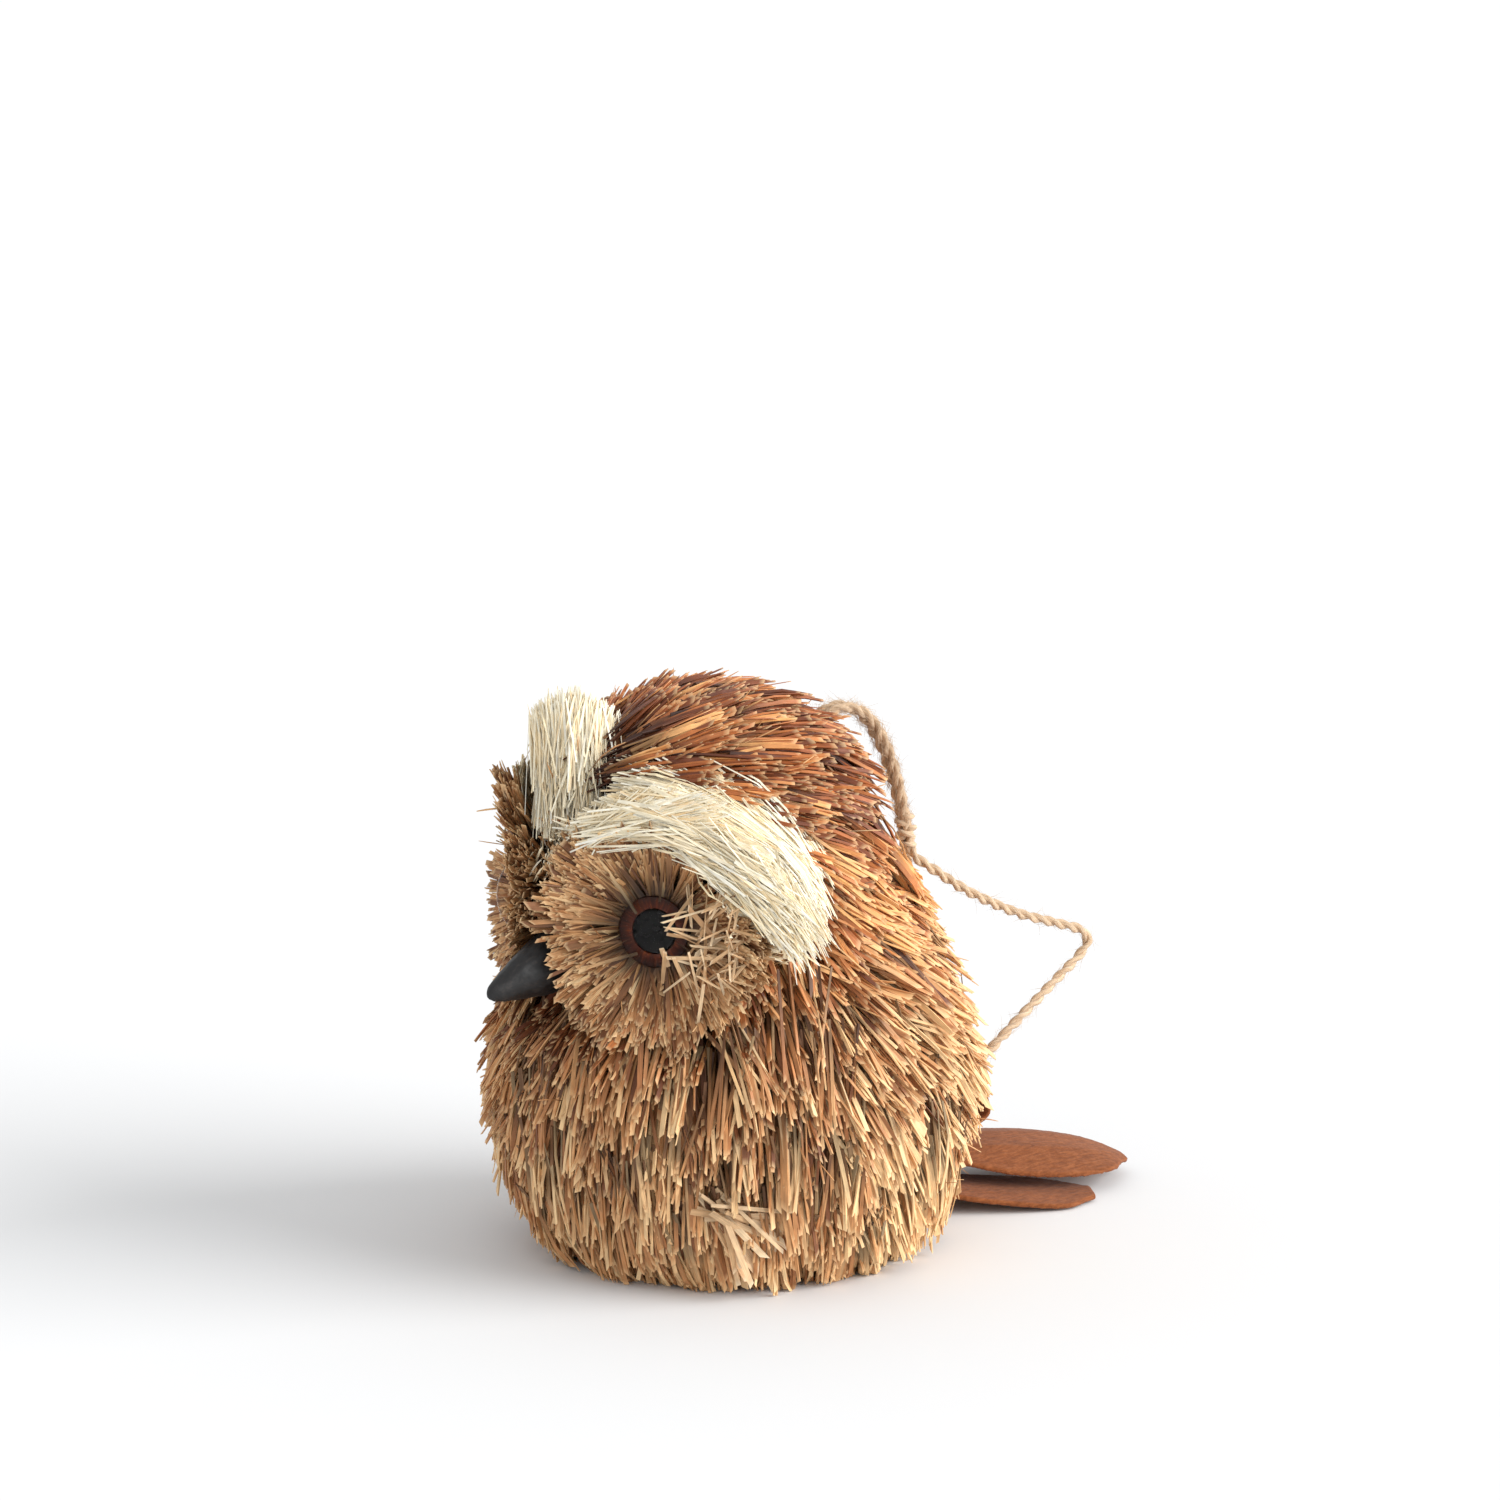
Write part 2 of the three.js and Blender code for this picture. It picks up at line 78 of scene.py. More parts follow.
def ease(low, high, value):
    """0 below low, 1 above high, and smooth between."""
    share = np.clip((value - low) / (high - low), 0, 1)
    return share * share * (3 - 2 * share)


def turned(vectors, axes, angles):
    """Vectors turned about unit axes by angles in radians."""
    cos, sin = np.cos(angles)[..., None], np.sin(angles)[..., None]
    return vectors * cos + np.cross(axes, vectors) * sin + axes * dot(axes, vectors) * (1 - cos)


def smooth_line(points, step):
    """A Catmull-Rom line through the points, with a point about every step."""
    p = np.array(points, float)
    p = np.vstack([2 * p[0] - p[1], p, 2 * p[-1] - p[-2]])
    t = np.linspace(0, 1, 24, endpoint=False)[:, None]
    line = []
    for a, b, c, d in zip(p, p[1:], p[2:], p[3:]):
        line.append(b + 0.5 * t * (c - a + t * (2 * a - 5 * b + 4 * c - d + t * (3 * (b - c) + d - a))))
    line = np.vstack([*line, p[-2:-1]])
    along = np.concatenate([[0], np.cumsum(np.linalg.norm(np.diff(line, axis=0), axis=1))])
    at = np.linspace(0, along[-1], max(2, round(along[-1] / step) + 1))
    return np.stack([np.interp(at, along, line[:, k]) for k in range(3)], axis=1)


def frames_along(line):
    """For each point of a line its tangent and two directions across it, which don't twist."""
    tangent = unit(np.gradient(line, axis=0))
    side = np.empty_like(line)
    side[0] = unit(np.cross(tangent[0], [0.3, 0.2, 1.0]))
    for i in range(1, len(line)):
        kept = side[i - 1] - tangent[i] * (side[i - 1] @ tangent[i])
        side[i] = kept / np.linalg.norm(kept)
    return tangent, side, np.cross(tangent, side)


def placed(name, data):
    """An object in the scene that holds the data."""
    made = bpy.data.objects.new(name, data)
    bpy.context.collection.objects.link(made)
    return made


def new_mesh(name, vertices, faces, smooth=False):
    """A mesh object from arrays of vertices and of faces that all have the same number of corners."""
    mesh = bpy.data.meshes.new(name)
    corners = faces.shape[1]
    mesh.vertices.add(len(vertices))
    mesh.vertices.foreach_set("co", np.asarray(vertices, np.float32).ravel())
    mesh.loops.add(faces.size)
    mesh.loops.foreach_set("vertex_index", faces.astype(np.int32).ravel())
    mesh.polygons.add(len(faces))
    mesh.polygons.foreach_set("loop_start", np.arange(0, faces.size, corners, dtype=np.int32))
    mesh.polygons.foreach_set("use_smooth", np.full(len(faces), smooth))
    mesh.update(calc_edges=True)
    return placed(name, mesh)


def give(mesh, name, vectors):
    """Stores a vector for each of the mesh's points, for a material to read."""
    field = mesh.attributes.new(name, "FLOAT_VECTOR", "POINT")
    field.data.foreach_set("vector", np.asarray(vectors, np.float32).ravel())


def finish_piece(made, mat, slot, *nodes):
    """Gives a piece its material and ties it to the frame."""
    made.data.materials.clear()
    made.data.materials.append(mat)
    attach(made, "root")
    if nodes:
        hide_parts(*nodes)
    return made


# ---- materials

def material(name, **sockets):
    """A material and its shader, with what is the same all over set on the shader's own sockets."""
    mat = bpy.data.materials.new(name)
    mat.use_nodes = True
    shader = mat.node_tree.nodes["Principled BSDF"]
    for socket, value in sockets.items():
        shader.inputs[socket.replace("_", " ")].default_value = value
    return mat, shader


def node(mat, kind, inputs=None, **settings):
    """Adds a node. An input is a number, a colour or another node's output."""
    made = mat.node_tree.nodes.new("ShaderNode" + kind)
    for key, value in settings.items():
        setattr(made, key, value)
    for key, value in (inputs or {}).items():
        if isinstance(value, bpy.types.NodeSocket):
            mat.node_tree.links.new(value, made.inputs[key])
        else:
            made.inputs[key].default_value = value
    return made


def join(mat, shader, **sources):
    """Joins nodes' outputs to the shader's sockets."""
    for socket, output in sources.items():
        mat.node_tree.links.new(output, shader.inputs[socket.replace("_", " ")])


def ramp(mat, value, *stops):
    """A colour ramp's colour: stops are (position, screen colour)."""
    made = node(mat, "ValToRGB", {"Fac": value})
    elements = made.color_ramp.elements
    while len(elements) < len(stops):
        elements.new(0.5)
    for element, (place, colour) in zip(elements, stops):
        element.position = place
        element.color = rgb(*colour)
    return made.outputs["Color"]


def remap(mat, value, low, high, to_low, to_high):
    made = node(mat, "MapRange", {"Value": value, "From Min": low, "From Max": high,
                                  "To Min": to_low, "To Max": to_high})
    return made.outputs["Result"]


def times(mat, colour, by):
    """A colour multiplied by a number that varies over the surface."""
    made = node(mat, "VectorMath", {0: colour, "Scale": by}, operation="SCALE")
    return made.outputs["Vector"]


def blend(mat, share, one, other):
    made = node(mat, "Mix", {"Factor": share, "A": one, "B": other}, data_type="RGBA")
    return made.outputs["Result"]


def noise(mat, where, scale, detail=3.0, rough=0.55):
    made = node(mat, "TexNoise", {"Vector": where, "Scale": scale, "Detail": detail, "Roughness": rough})
    return made.outputs["Fac"]


def stretched(mat, where, across, along, third):
    """Texture coordinates scaled by a different number each way."""
    made = node(mat, "VectorMath", {0: where, 1: (across, along, third)}, operation="MULTIPLY")
    return made.outputs["Vector"]


def relief(mat, height, depth):
    """The normal of a surface that a texture raises by up to depth metres."""
    return node(mat, "Bump", {"Height": height, "Distance": depth, "Strength": 1.0}).outputs["Normal"]


def stored(mat, name):
    """What the mesh stores under a name."""
    return node(mat, "Attribute", attribute_name=name).outputs["Vector"]


def own_place(mat):
    """Where each point of the piece is, in metres."""
    return node(mat, "TexCoord").outputs["Object"]


def part_of(mat, vector, part):
    return node(mat, "SeparateXYZ", {"Vector": vector}).outputs[part]


def straw_material(name, plain, warm, gloss, root_shade=0.3, streaks=(0.74, 1.16)):
    """Split straw. plain and warm are each four colours from dark to light, mixed by each strip's own
    shade. Its fibres run along the strip, painted shade darkens it towards its root, and its cut end is paler."""
    mat, shader = material(name, Specular_IOR_Level=0.4)
    fibre, shade = stored(mat, "fibre"), stored(mat, "shade")
    along = part_of(mat, shade, "Z")
    lines = noise(mat, stretched(mat, fibre, 7.0, 0.35, 31.0), 1.0, 3.0, 0.6)
    blotch = noise(mat, stretched(mat, fibre, 0.8, 0.45, 17.0), 1.0, 2.0)
    stops = (0.0, 0.35, 0.7, 1.0)
    tones = [ramp(mat, part_of(mat, shade, "X"), *zip(stops, colours)) for colours in (plain, warm)]
    colour = blend(mat, part_of(mat, shade, "Y"), *tones)
    colour = times(mat, colour, remap(mat, lines, 0.3, 0.7, *streaks))
    colour = times(mat, colour, remap(mat, blotch, 0.35, 0.65, 0.86, 1.08))
    # painted shade: each strip is darkened towards its root, down to root_shade times its colour
    colour = times(mat, colour, remap(mat, along, 0.2, 0.75, root_shade, 1.0))
    cut_end = remap(mat, along, 0.93, 0.985, 0.0, 0.42)
    join(mat, shader, Base_Color=blend(mat, cut_end, colour, rgb(*plain[3])),
         Roughness=remap(mat, lines, 0.3, 0.7, gloss + 0.2, gloss), Normal=relief(mat, lines, 0.00006))
    return mat


STRAW = straw_material(
    "split_straw",
    plain=((124, 74, 40), (184, 126, 78), (216, 162, 108), (243, 206, 154)),
    warm=((104, 50, 20), (164, 90, 44), (200, 124, 66), (236, 174, 108)),
    gloss=0.42,
)
FACE_STRAW = straw_material(
    "face_straw",
    plain=((122, 80, 48), (182, 134, 88), (214, 168, 118), (240, 208, 160)),
    warm=((108, 60, 28), (170, 104, 58), (202, 140, 84), (232, 182, 126)),
    gloss=0.45, root_shade=0.16,
)
LOOSE_STRAW = straw_material(
    "broken_straw",
    plain=((176, 132, 88), (218, 178, 132), (240, 208, 166), (252, 232, 198)),
    warm=((164, 108, 64), (206, 150, 98), (230, 184, 132), (248, 218, 172)),
    gloss=0.45, root_shade=0.8,
)
CREAM_FIBRE = straw_material(
    "bleached_fibre",
    plain=((252, 228, 190), (255, 240, 208), (255, 247, 224), (255, 252, 240)),
    warm=((252, 210, 148), (255, 225, 170), (255, 237, 196), (255, 246, 220)),
    gloss=0.4, root_shade=0.86, streaks=(0.86, 1.1),
)


def jute_material():
    """Jute yarn: fine fibres along each ply, paler where they stand up."""
    mat, shader = material("jute", Specular_IOR_Level=0.3, Sheen_Weight=0.25, Sheen_Roughness=0.5)
    fibre = stored(mat, "fibre")
    lines = noise(mat, stretched(mat, fibre, 5.0, 0.6, 9.0), 1.0, 4.0, 0.65)
    tint = noise(mat, stretched(mat, fibre, 0.6, 0.16, 3.0), 1.0, 2.0)
    colour = ramp(mat, lines, (0.25, (166, 130, 98)), (0.5, (210, 180, 146)), (0.75, (238, 218, 190)))
    join(mat, shader, Base_Color=times(mat, colour, remap(mat, tint, 0.3, 0.7, 0.86, 1.1)),
         Roughness=remap(mat, lines, 0.3, 0.7, 0.9, 0.7), Normal=relief(mat, lines, 0.0001))
    return mat


JUTE = jute_material()


# ---- camera and lights

CAMERA_AT = (0.59463, -0.49896, 0.22954)
CAMERA_PITCH, CAMERA_TURN = 78.4302, 49.8234
LENS = 136.3
SKY_LIGHT = 0.84
KEY_FROM, KEY_LIGHT, KEY_SPREAD = (0.88, 0.62, 0.42), 4.0, 50
FLOOR_HALF = 20.0


def make_camera():
    data = bpy.data.cameras.new("camera")
    data.lens = LENS
    camera = placed("camera", data)
    camera.location = CAMERA_AT
    camera.rotation_euler = (math.radians(CAMERA_PITCH), 0, math.radians(CAMERA_TURN))
    bpy.context.scene.camera = camera


def make_key():
    """A broad soft sun from the right, its spread in degrees."""
    data = bpy.data.lights.new("key", "SUN")
    data.energy, data.angle = KEY_LIGHT, math.radians(KEY_SPREAD)
    light = placed("key", data)
    light.rotation_euler = (-Vector(KEY_FROM)).to_track_quat("-Z", "Y").to_euler()


def make_studio():
    """A white floor that runs out of view, and even light all round."""
    world = bpy.data.worlds.new("studio")
    world.use_nodes = True
    sky = world.node_tree.nodes["Background"].inputs
    sky["Color"].default_value = (0.97, 0.985, 1.0, 1.0)
    sky["Strength"].default_value = SKY_LIGHT
    bpy.context.scene.world = world
    mat, _ = material("floor", Base_Color=(0.8, 0.8, 0.8, 1), Roughness=0.9, Specular_IOR_Level=0.0)
    corners = FLOOR_HALF * np.array([(-1, -1, 0), (1, -1, 0), (1, 1, 0), (-1, 1, 0)])
    floor = new_mesh("floor", corners, np.array([[0, 1, 2, 3]]))
    floor.data.materials.append(mat)
    bpy.context.scene.view_settings.view_transform = "Standard"
    bpy.context.scene.view_settings.look = "None"


make_camera()
make_key()
make_studio()


# ---- hanging twine

TWINE_R = 0.75 * MM
TWINE_SPREAD = 0.9  # half the distance between the paired strands, in mm
TWINE_LEAD = [(11.2, 69.2), (15, 72.6), (19.4, 74.3), (24, 72.8), (27.6, 68.4), (30.2, 62.6), (31.5, 58.2)]
KNOT_PASS = (0.45, 32.4, 54.6)  # where the strands go through the knot
TWINE_LOOP = [
    (0.9, 33.1, 51.1), (2.2, 36.6, 48.2), (3.2, 42.4, 44.4), (4, 50.6, 40.4), (4.6, 58, 37.8),
    (5, 62.4, 36.2), (5.1, 63.8, 34.4), (5.1, 62.2, 32.4), (5.2, 58, 29.8), (5.5, 50, 25),
    (5.7, 44.2, 21.4), (4.6, 42, 19.6), (2.4, 41.6, 19.2), (0.3, 41.4, 21), (-1.8, 41, 26),
    (-2.4, 39.6, 32), (-2.2, 37.6, 39), (-1.5, 35, 46), (-0.9, 33.2, 51.1),
]
PLY_PITCH = 5.2 * MM
PLY_OFFSET, PLY_RADIUS = 0.46, 0.58  # as shares of the yarn's radius
KNOT_R, KNOT_TURNS, KNOT_PITCH = 0.85 * MM, 3.2, 2.6 * MM
FUZZ_COUNT = 2600


def twine_route():
    """From the crown down one strand to the knot, round the loop, and back up the other strand."""
    half = len(TWINE_LEAD) - 1
    close = [TWINE_SPREAD * (1 - 0.45 * (i / half) ** 2) for i in range(half + 1)]
    start = [(x, y, z) for x, (y, z) in zip(close, TWINE_LEAD)] + [KNOT_PASS]
    back = [(-x, y, z) for x, y, z in reversed(start)]
    return smooth_line(np.array([*start, *TWINE_LOOP, *back]) * MM, 0.25 * MM)


def circles(side, up, sides):
    """Directions all round each place, from two that are square to each other, and their angles."""
    around = np.linspace(0, 2 * math.pi, sides, endpoint=False)
    return side[:, None] * np.cos(around)[:, None] + up[:, None] * np.sin(around)[:, None], around


def ring_faces(rows, sides, start=0):
    """The quads of a tube between rows rings, each of so many sides."""
    row = np.arange(rows - 1)[:, None] * sides
    j = np.arange(sides)
    k = (j + 1) % sides
    quads = np.stack([row + j, row + k, row + sides + k, row + sides + j], axis=-1)
    return quads.reshape(-1, 4) + start


def yarn(name, line, radius, pitch, plies=2, sides=8):
    """Plies twisted round each other along a line, with the fibre coordinates that the jute reads."""
    _, side, up = frames_along(line)
    length = np.concatenate([[0], np.cumsum(np.linalg.norm(np.diff(line, axis=0), axis=1))])
    ring, around = circles(side, up, sides)
    verts, faces, fibre = [], [], []
    for ply in range(plies):
        turn = 2 * math.pi * (length / pitch + ply / plies)
        lean = side * np.cos(turn)[:, None] + up * np.sin(turn)[:, None]
        core = line + lean * (PLY_OFFSET * radius)
        wobble = 1 + 0.1 * np.sin(length[:, None] / MM * 2.3 + around * 3 + ply)
        verts.append(core[:, None] + ring * (PLY_RADIUS * radius * wobble)[..., None])
        faces.append(ring_faces(len(line), sides, ply * len(line) * sides))
        spin = (around[None] - turn[:, None]) * radius / MM * 0.6
        along = np.broadcast_to(length[:, None] / MM, spin.shape)
        fibre.append(np.stack([spin, along + spin * 0.8, np.full_like(spin, ply * 3.7)], axis=-1))
    made = new_mesh(name, np.concatenate([v.reshape(-1, 3) for v in verts]), np.concatenate(faces), True)
    close_ends(made)
    give(made.data, "fibre", np.concatenate([f.reshape(-1, 3) for f in fibre]))
    return made


def close_ends(made):
    """Fills the open ends of tubes."""
    shape = bmesh.new()
    shape.from_mesh(made.data)
    bmesh.ops.holes_fill(shape, edges=[e for e in shape.edges if e.is_boundary], sides=0)
    shape.to_mesh(made.data)
    shape.free()


def hairs(name, roots, directions, lengths, thickness, curl, random):
    """Fine loose fibres, each a bent three-sided thread of four rings."""
    rings, sides = 4, 3
    t = np.linspace(0, 1, rings)
    bend = unit(np.cross(directions, random.normal(size=directions.shape))) * curl[:, None]
    core = roots[:, None] + lengths[:, None, None] * (
        directions[:, None] * t[None, :, None] + bend[:, None] * (t * t)[None, :, None])
    side = unit(np.cross(directions, bend))
    ring, _ = circles(side, np.cross(directions, side), sides)
    thin = thickness[:, None] * (1 - 0.7 * t)
    verts = core[:, :, None] + ring[:, None] * thin[:, :, None, None]
    start = np.arange(len(roots))[:, None, None] * rings * sides
    quads = ring_faces(rings, sides)[None] + start
    made = new_mesh(name, verts.reshape(-1, 3), quads.reshape(-1, 4), True)
    seed = np.repeat(random.random(len(roots)) * 40, rings * sides)
    give(made.data, "fibre", np.stack([seed, seed * 0.3, seed], axis=-1))
    return made


def make_twine():
    line = twine_route()
    twine = finish_piece(yarn("twine", line, TWINE_R, PLY_PITCH), JUTE, "jute",
                         "twine_lead_a", "twine_lead_b", "twine_loop")
    knot = make_knot()
    fuzz = make_fuzz(line)


def make_knot():
    """Three turns of the doubled twine pulled tight round itself."""
    low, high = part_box("twine_knot")
    centre = (low + high) / 2
    reach = 0.5 * (high.z - low.z) + 0.9 * MM
    t = np.linspace(-1, 1, 150)
    angle = t * math.pi * KNOT_TURNS
    radius = KNOT_R * np.sqrt(np.clip(1 - t * t, 0.02, 1))
    line = np.stack([centre.x + radius * np.cos(angle), centre.y + radius * np.sin(angle) - 0.4 * MM * t,
                     centre.z + reach * 0.8 * t], axis=1)
    return finish_piece(yarn("twine_knot_turns", line, KNOT_R, KNOT_PITCH), JUTE, "jute", "twine_knot")


def make_fuzz(line):
    """Loose ends of fibre that stand off the twine, most of them where it is doubled."""
    random = draws("fuzz")
    tangent, side, up = frames_along(line)
    step = np.arange(len(line))
    doubled = np.minimum(step, len(line) - 1 - step) < 0.2 * len(line)
    odds = np.where(doubled, 5.0, 1.0)
    at = random.choice(len(line), FUZZ_COUNT, p=odds / odds.sum())
    turn = random.random(len(at)) * 2 * math.pi
    out = side[at] * np.cos(turn)[:, None] + up[at] * np.sin(turn)[:, None]
    sign = np.where(random.random(len(at)) < 0.5, -1, 1)[:, None]
    way = unit(tangent[at] * sign + out * random.uniform(0.15, 0.8, len(at))[:, None])
    roots = line[at] + out * TWINE_R * 0.85
    lengths = random.uniform(0.7, 2.4, len(at)) * MM
    thickness = random.uniform(0.018, 0.035, len(at)) * MM
    curl = random.uniform(0, 0.5, len(at))
    fuzz = hairs("twine_fuzz", roots, way, lengths, thickness, curl, random)
    return finish_piece(fuzz, JUTE, "jute")


make_twine()


# ---- where bristle grows

COURSES = ("bristle_hem", "bristle_belly_low", "bristle_belly_mid", "bristle_belly_high", "bristle_chest",
           "bristle_shoulder")
CROWN_ROWS = ("bristle_nape", "crown_row_back", "crown_row_upper_back", "crown_row_top",
              "crown_row_upper_front", "crown_row_front")
SIDES = {"left": 1, "right": -1}
IRIS_DEPTH = 1.0 * MM
CORE_LOW, CORE_HIGH = 18 * MM, 50 * MM  # the middles that strips stand away from
JUST_OUTSIDE, COVER = 0.05, 2.5  # where a ray starts, and how near cover counts, in mm
TIP_ABOVE, TIP_REACH = 3, 7  # from where and how far a tip looks for the coat, in mm
ROOT_SHALLOW, ROOT_DEPTH = 0.5, 1.5  # roots nearer the skin than this go this deep, in mm


def triangles_of(name):
    """The corners of a CAD node's triangles."""
    mesh = NODES[name].data
    mesh.calc_loop_triangles()
    points = np.empty(len(mesh.vertices) * 3, np.float32)
    mesh.vertices.foreach_get("co", points)
    index = np.empty(len(mesh.loop_triangles) * 3, np.int32)
    mesh.loop_triangles.foreach_get("vertices", index)
    return points.reshape(-1, 3)[index].reshape(-1, 3, 3).astype(float)


def surface_tree(names):
    corners = np.concatenate([triangles_of(name) for name in names])
    index = np.arange(len(corners) * 3).reshape(-1, 3)
    return BVHTree.FromPolygons(corners.reshape(-1, 3).tolist(), index.tolist())


COAT = surface_tree([n for n in NODES if not n.startswith(("twine", "hanger", "tail"))])


def shows(point, normal):
    """True where nothing of the ornament lies just outside a point of its surface."""
    return COAT.ray_cast(Vector(point + normal * JUST_OUTSIDE * MM), Vector(normal), COVER * MM)[0] is None


def outer_points(name, count, random):
    """Points spread evenly over the part of a CAD node that is outside, with its normals there."""
    corners = triangles_of(name)
    cross = np.cross(corners[:, 1] - corners[:, 0], corners[:, 2] - corners[:, 0])
    area = np.linalg.norm(cross, axis=1) / 2
    tried = 3 * count
    pick = random.choice(len(corners), tried, p=area / area.sum())
    u, v = random.random((2, tried, 1))
    u, v = np.where(u + v > 1, 1 - u, u), np.where(u + v > 1, 1 - v, v)
    a, b, c = corners[pick, 0], corners[pick, 1], corners[pick, 2]
    points, normals = a + u * (b - a) + v * (c - a), unit(cross[pick])
    outside = np.array([shows(p, n) for p, n in zip(points, normals)])
    shown_area = area.sum() * outside.mean()
    keep = np.flatnonzero(outside)[:count]
    return points[keep], normals[keep], shown_area


def outwards(points):
    """Straight away from the middle of the body or head."""
    height = np.clip(points[:, 2], CORE_LOW, CORE_HIGH)
    middle_y = np.interp(height, (CORE_LOW, CORE_HIGH), (-1 * MM, -7 * MM))
    return unit(points - np.stack([0 * height, middle_y, height], axis=1))


def eye_frame(side):
    """An eye's centre on its face plane, and outward, up and the way it looks."""
    corners = triangles_of(f"eye_{side}_iris").reshape(-1, 3)
    centre = (corners.max(0) + corners.min(0)) / 2
    axis = np.linalg.svd(corners - corners.mean(0))[2][2]
    axis = axis * (-1 if axis[1] > 0 else 1)
    axis = unit(np.array([axis[0], axis[1], 0.0]))
    outward = np.array([-axis[1], axis[0], 0.0]) * SIDES[side]
    return centre + axis * IRIS_DEPTH, outward, np.array([0.0, 0.0, 1.0]), axis


EYES = {side: eye_frame(side) for side in SIDES}


def from_eye(side, places):
    """How far places are outward, up and forward of an eye, in mm."""
    eye, *ways = EYES[side]
    return [((places - eye) @ way) / MM for way in ways]


def at_eye(side, out, rise, fore):
    """Places given in mm outward, up and forward of an eye."""
    eye, outward, up, axis = EYES[side]
    return eye + MM * (outward * out[:, None] + up * rise[:, None] + axis * fore[:, None])


def across_eye(side, angle):
    """Directions square to the way an eye looks, at angles in radians upward from outward."""
    _, outward, up, _ = EYES[side]
    return outward * np.cos(angle)[:, None] + up * np.sin(angle)[:, None]


def kept(mask, *arrays):
    return [array[mask] for array in arrays]


# ---- strips
# A look says how strips lie: how many to a square mm and to a bunch, how far a bunch spreads, their
# length, width and thickness in mm, how far they roll and jitter in degrees, how proud of the coat and
# how uneven their tips are in mm, and how far their roots bend into the coat. A bend of None leaves the
# roots where they fall.

RINGS = np.array([0, 0.4, 0.75, 1.0])  # where a strip's four rings lie, from its root
AREA_TRIES = 400
UV_CELL_TALL = 6


def tufts(name, look, random, face=None):
    """Strip tips in small bunches over a node's outside: their places, normals and bunch numbers. The
    normals lean away from the body's middle, or the way that face points."""
    shown_area = outer_points(name, AREA_TRIES, np.random.default_rng(1))[2]
    bunches = max(3, round(shown_area / MM ** 2 * look["density"] / look["bunch_of"]))
    centres, normals, _ = outer_points(name, bunches, random)
    bunch = np.repeat(np.arange(len(centres)), look["bunch_of"])
    offset = random.normal(size=(len(bunch), 3)) * look["spread"] * MM
    if face is None:
        normals = unit(0.6 * normals + outwards(centres))
    normal = normals[bunch]
    start = centres[bunch] + offset - normal * dot(offset, normal)
    tips, ups, found = [], [], []
    for i, (point, n) in enumerate(zip(start, normal)):
        hit = COAT.ray_cast(Vector(point + n * TIP_ABOVE * MM), Vector(-n), TIP_REACH * MM)
        if hit[0] is not None:
            tips.append(hit[0])
            ups.append(hit[1])
            found.append(i)
    tips = np.array(tips)
    away = outwards(tips) if face is None else face
    return tips, unit(0.7 * np.array(ups) + normal[found] + away), bunch[found]


def strips(name, finish, tips, ways, normals, bunch, look, warm, tone, random, longest=None):
    """Flat split strips that end at the tips. finish is what finish_piece takes, ways are the directions
    at the tips, tone and warm choose each strip's colour, and longest caps its length."""
    count, bunches = len(tips), bunch.max() + 1
    shared = random.normal(size=(bunches, 3))[bunch] * math.sin(math.radians(look["bunch_jitter"]))
    own = random.normal(size=(count, 3)) * math.sin(math.radians(look["own_jitter"]))
    ways = unit(ways + shared + own)
    lengths = random.uniform(*look["length"], count) * MM
    if longest is not None:
        lengths = np.minimum(lengths, longest)
    proud = random.uniform(*look["proud"], bunches)[bunch] + random.normal(size=count) * look["uneven"]
    tips = tips + ways * (proud * MM)[:, None]
    width = look["width"] * MM * np.exp(random.normal(size=count) * 0.32)
    thick = np.minimum(width * 0.5, random.uniform(*look["thick"], count) * MM)
    core = strip_cores(tips, ways, normals, lengths, look["bend"])
    side = unit(np.cross(ways, normals))
    side = turned(side, ways, random.normal(size=count) * math.radians(look["roll"]))
    twist = random.normal(size=count) * math.radians(12)
    sides = np.stack([turned(side, ways, twist * (1 - t)) for t in RINGS], axis=1)
    flats = unit(np.cross(ways[:, None], sides))
    half_width = width[:, None] / 2 * np.array([0.8, 1.0, 1.0, look["tip_width"]])
    half_thick = (thick / 2)[:, None] * np.array([1.0, 1.0, 1.0, 0.7])
    slant = random.uniform(-0.7, 0.7, count) * width
    corners = []
    for across, over in ((-1, -1), (1, -1), (1, 1), (-1, 1)):
        corner = core + sides * (across * half_width)[..., None] + flats * (over * half_thick)[..., None]
        corner[:, -1] += ways * (across * slant)[:, None]
        corners.append(corner)
    verts = np.stack(corners, axis=2)
    verts[..., 2] = np.maximum(verts[..., 2], 0.1 * MM)
    made = new_mesh(name, verts.reshape(-1, 3), strip_faces(count))
    mark_strips(made.data, half_width, lengths, tone, warm, random)
    finish_piece(made, *finish)


def strip_cores(tips, ways, normals, lengths, bend):
    """The middle of each strip, ring by ring."""
    root_ways = unit(ways + normals * (bend or 0))
    t = RINGS[None, :, None]
    behind = root_ways[:, None] * ((1 - t) ** 2 / 2) + ways[:, None] * ((1 - t * t) / 2)
    core = tips[:, None] - behind * lengths[:, None, None]
    if bend is not None:
        core += (roots_inside(core[:, 0]) - core[:, 0])[:, None] * (1 - t) ** 2
    return core


def roots_inside(roots):
    """The roots again, with those outside the coat moved into it."""
    moved = roots.copy()
    for i, root in enumerate(roots):
        place, normal, _, _ = COAT.find_nearest(Vector(root))
        if (Vector(root) - place).dot(normal) > -ROOT_SHALLOW * MM:
            moved[i] = place - normal * ROOT_DEPTH * MM
    return moved


def strip_faces(count):
    """Four sides between each pair of rings, and a cap at each end."""
    last = len(RINGS) * 4
    caps = np.array([[3, 2, 1, 0], [last - 4, last - 3, last - 2, last - 1]])
    one = np.concatenate([ring_faces(len(RINGS), 4), caps])
    return (one[None] + np.arange(count)[:, None, None] * last).reshape(-1, 4)


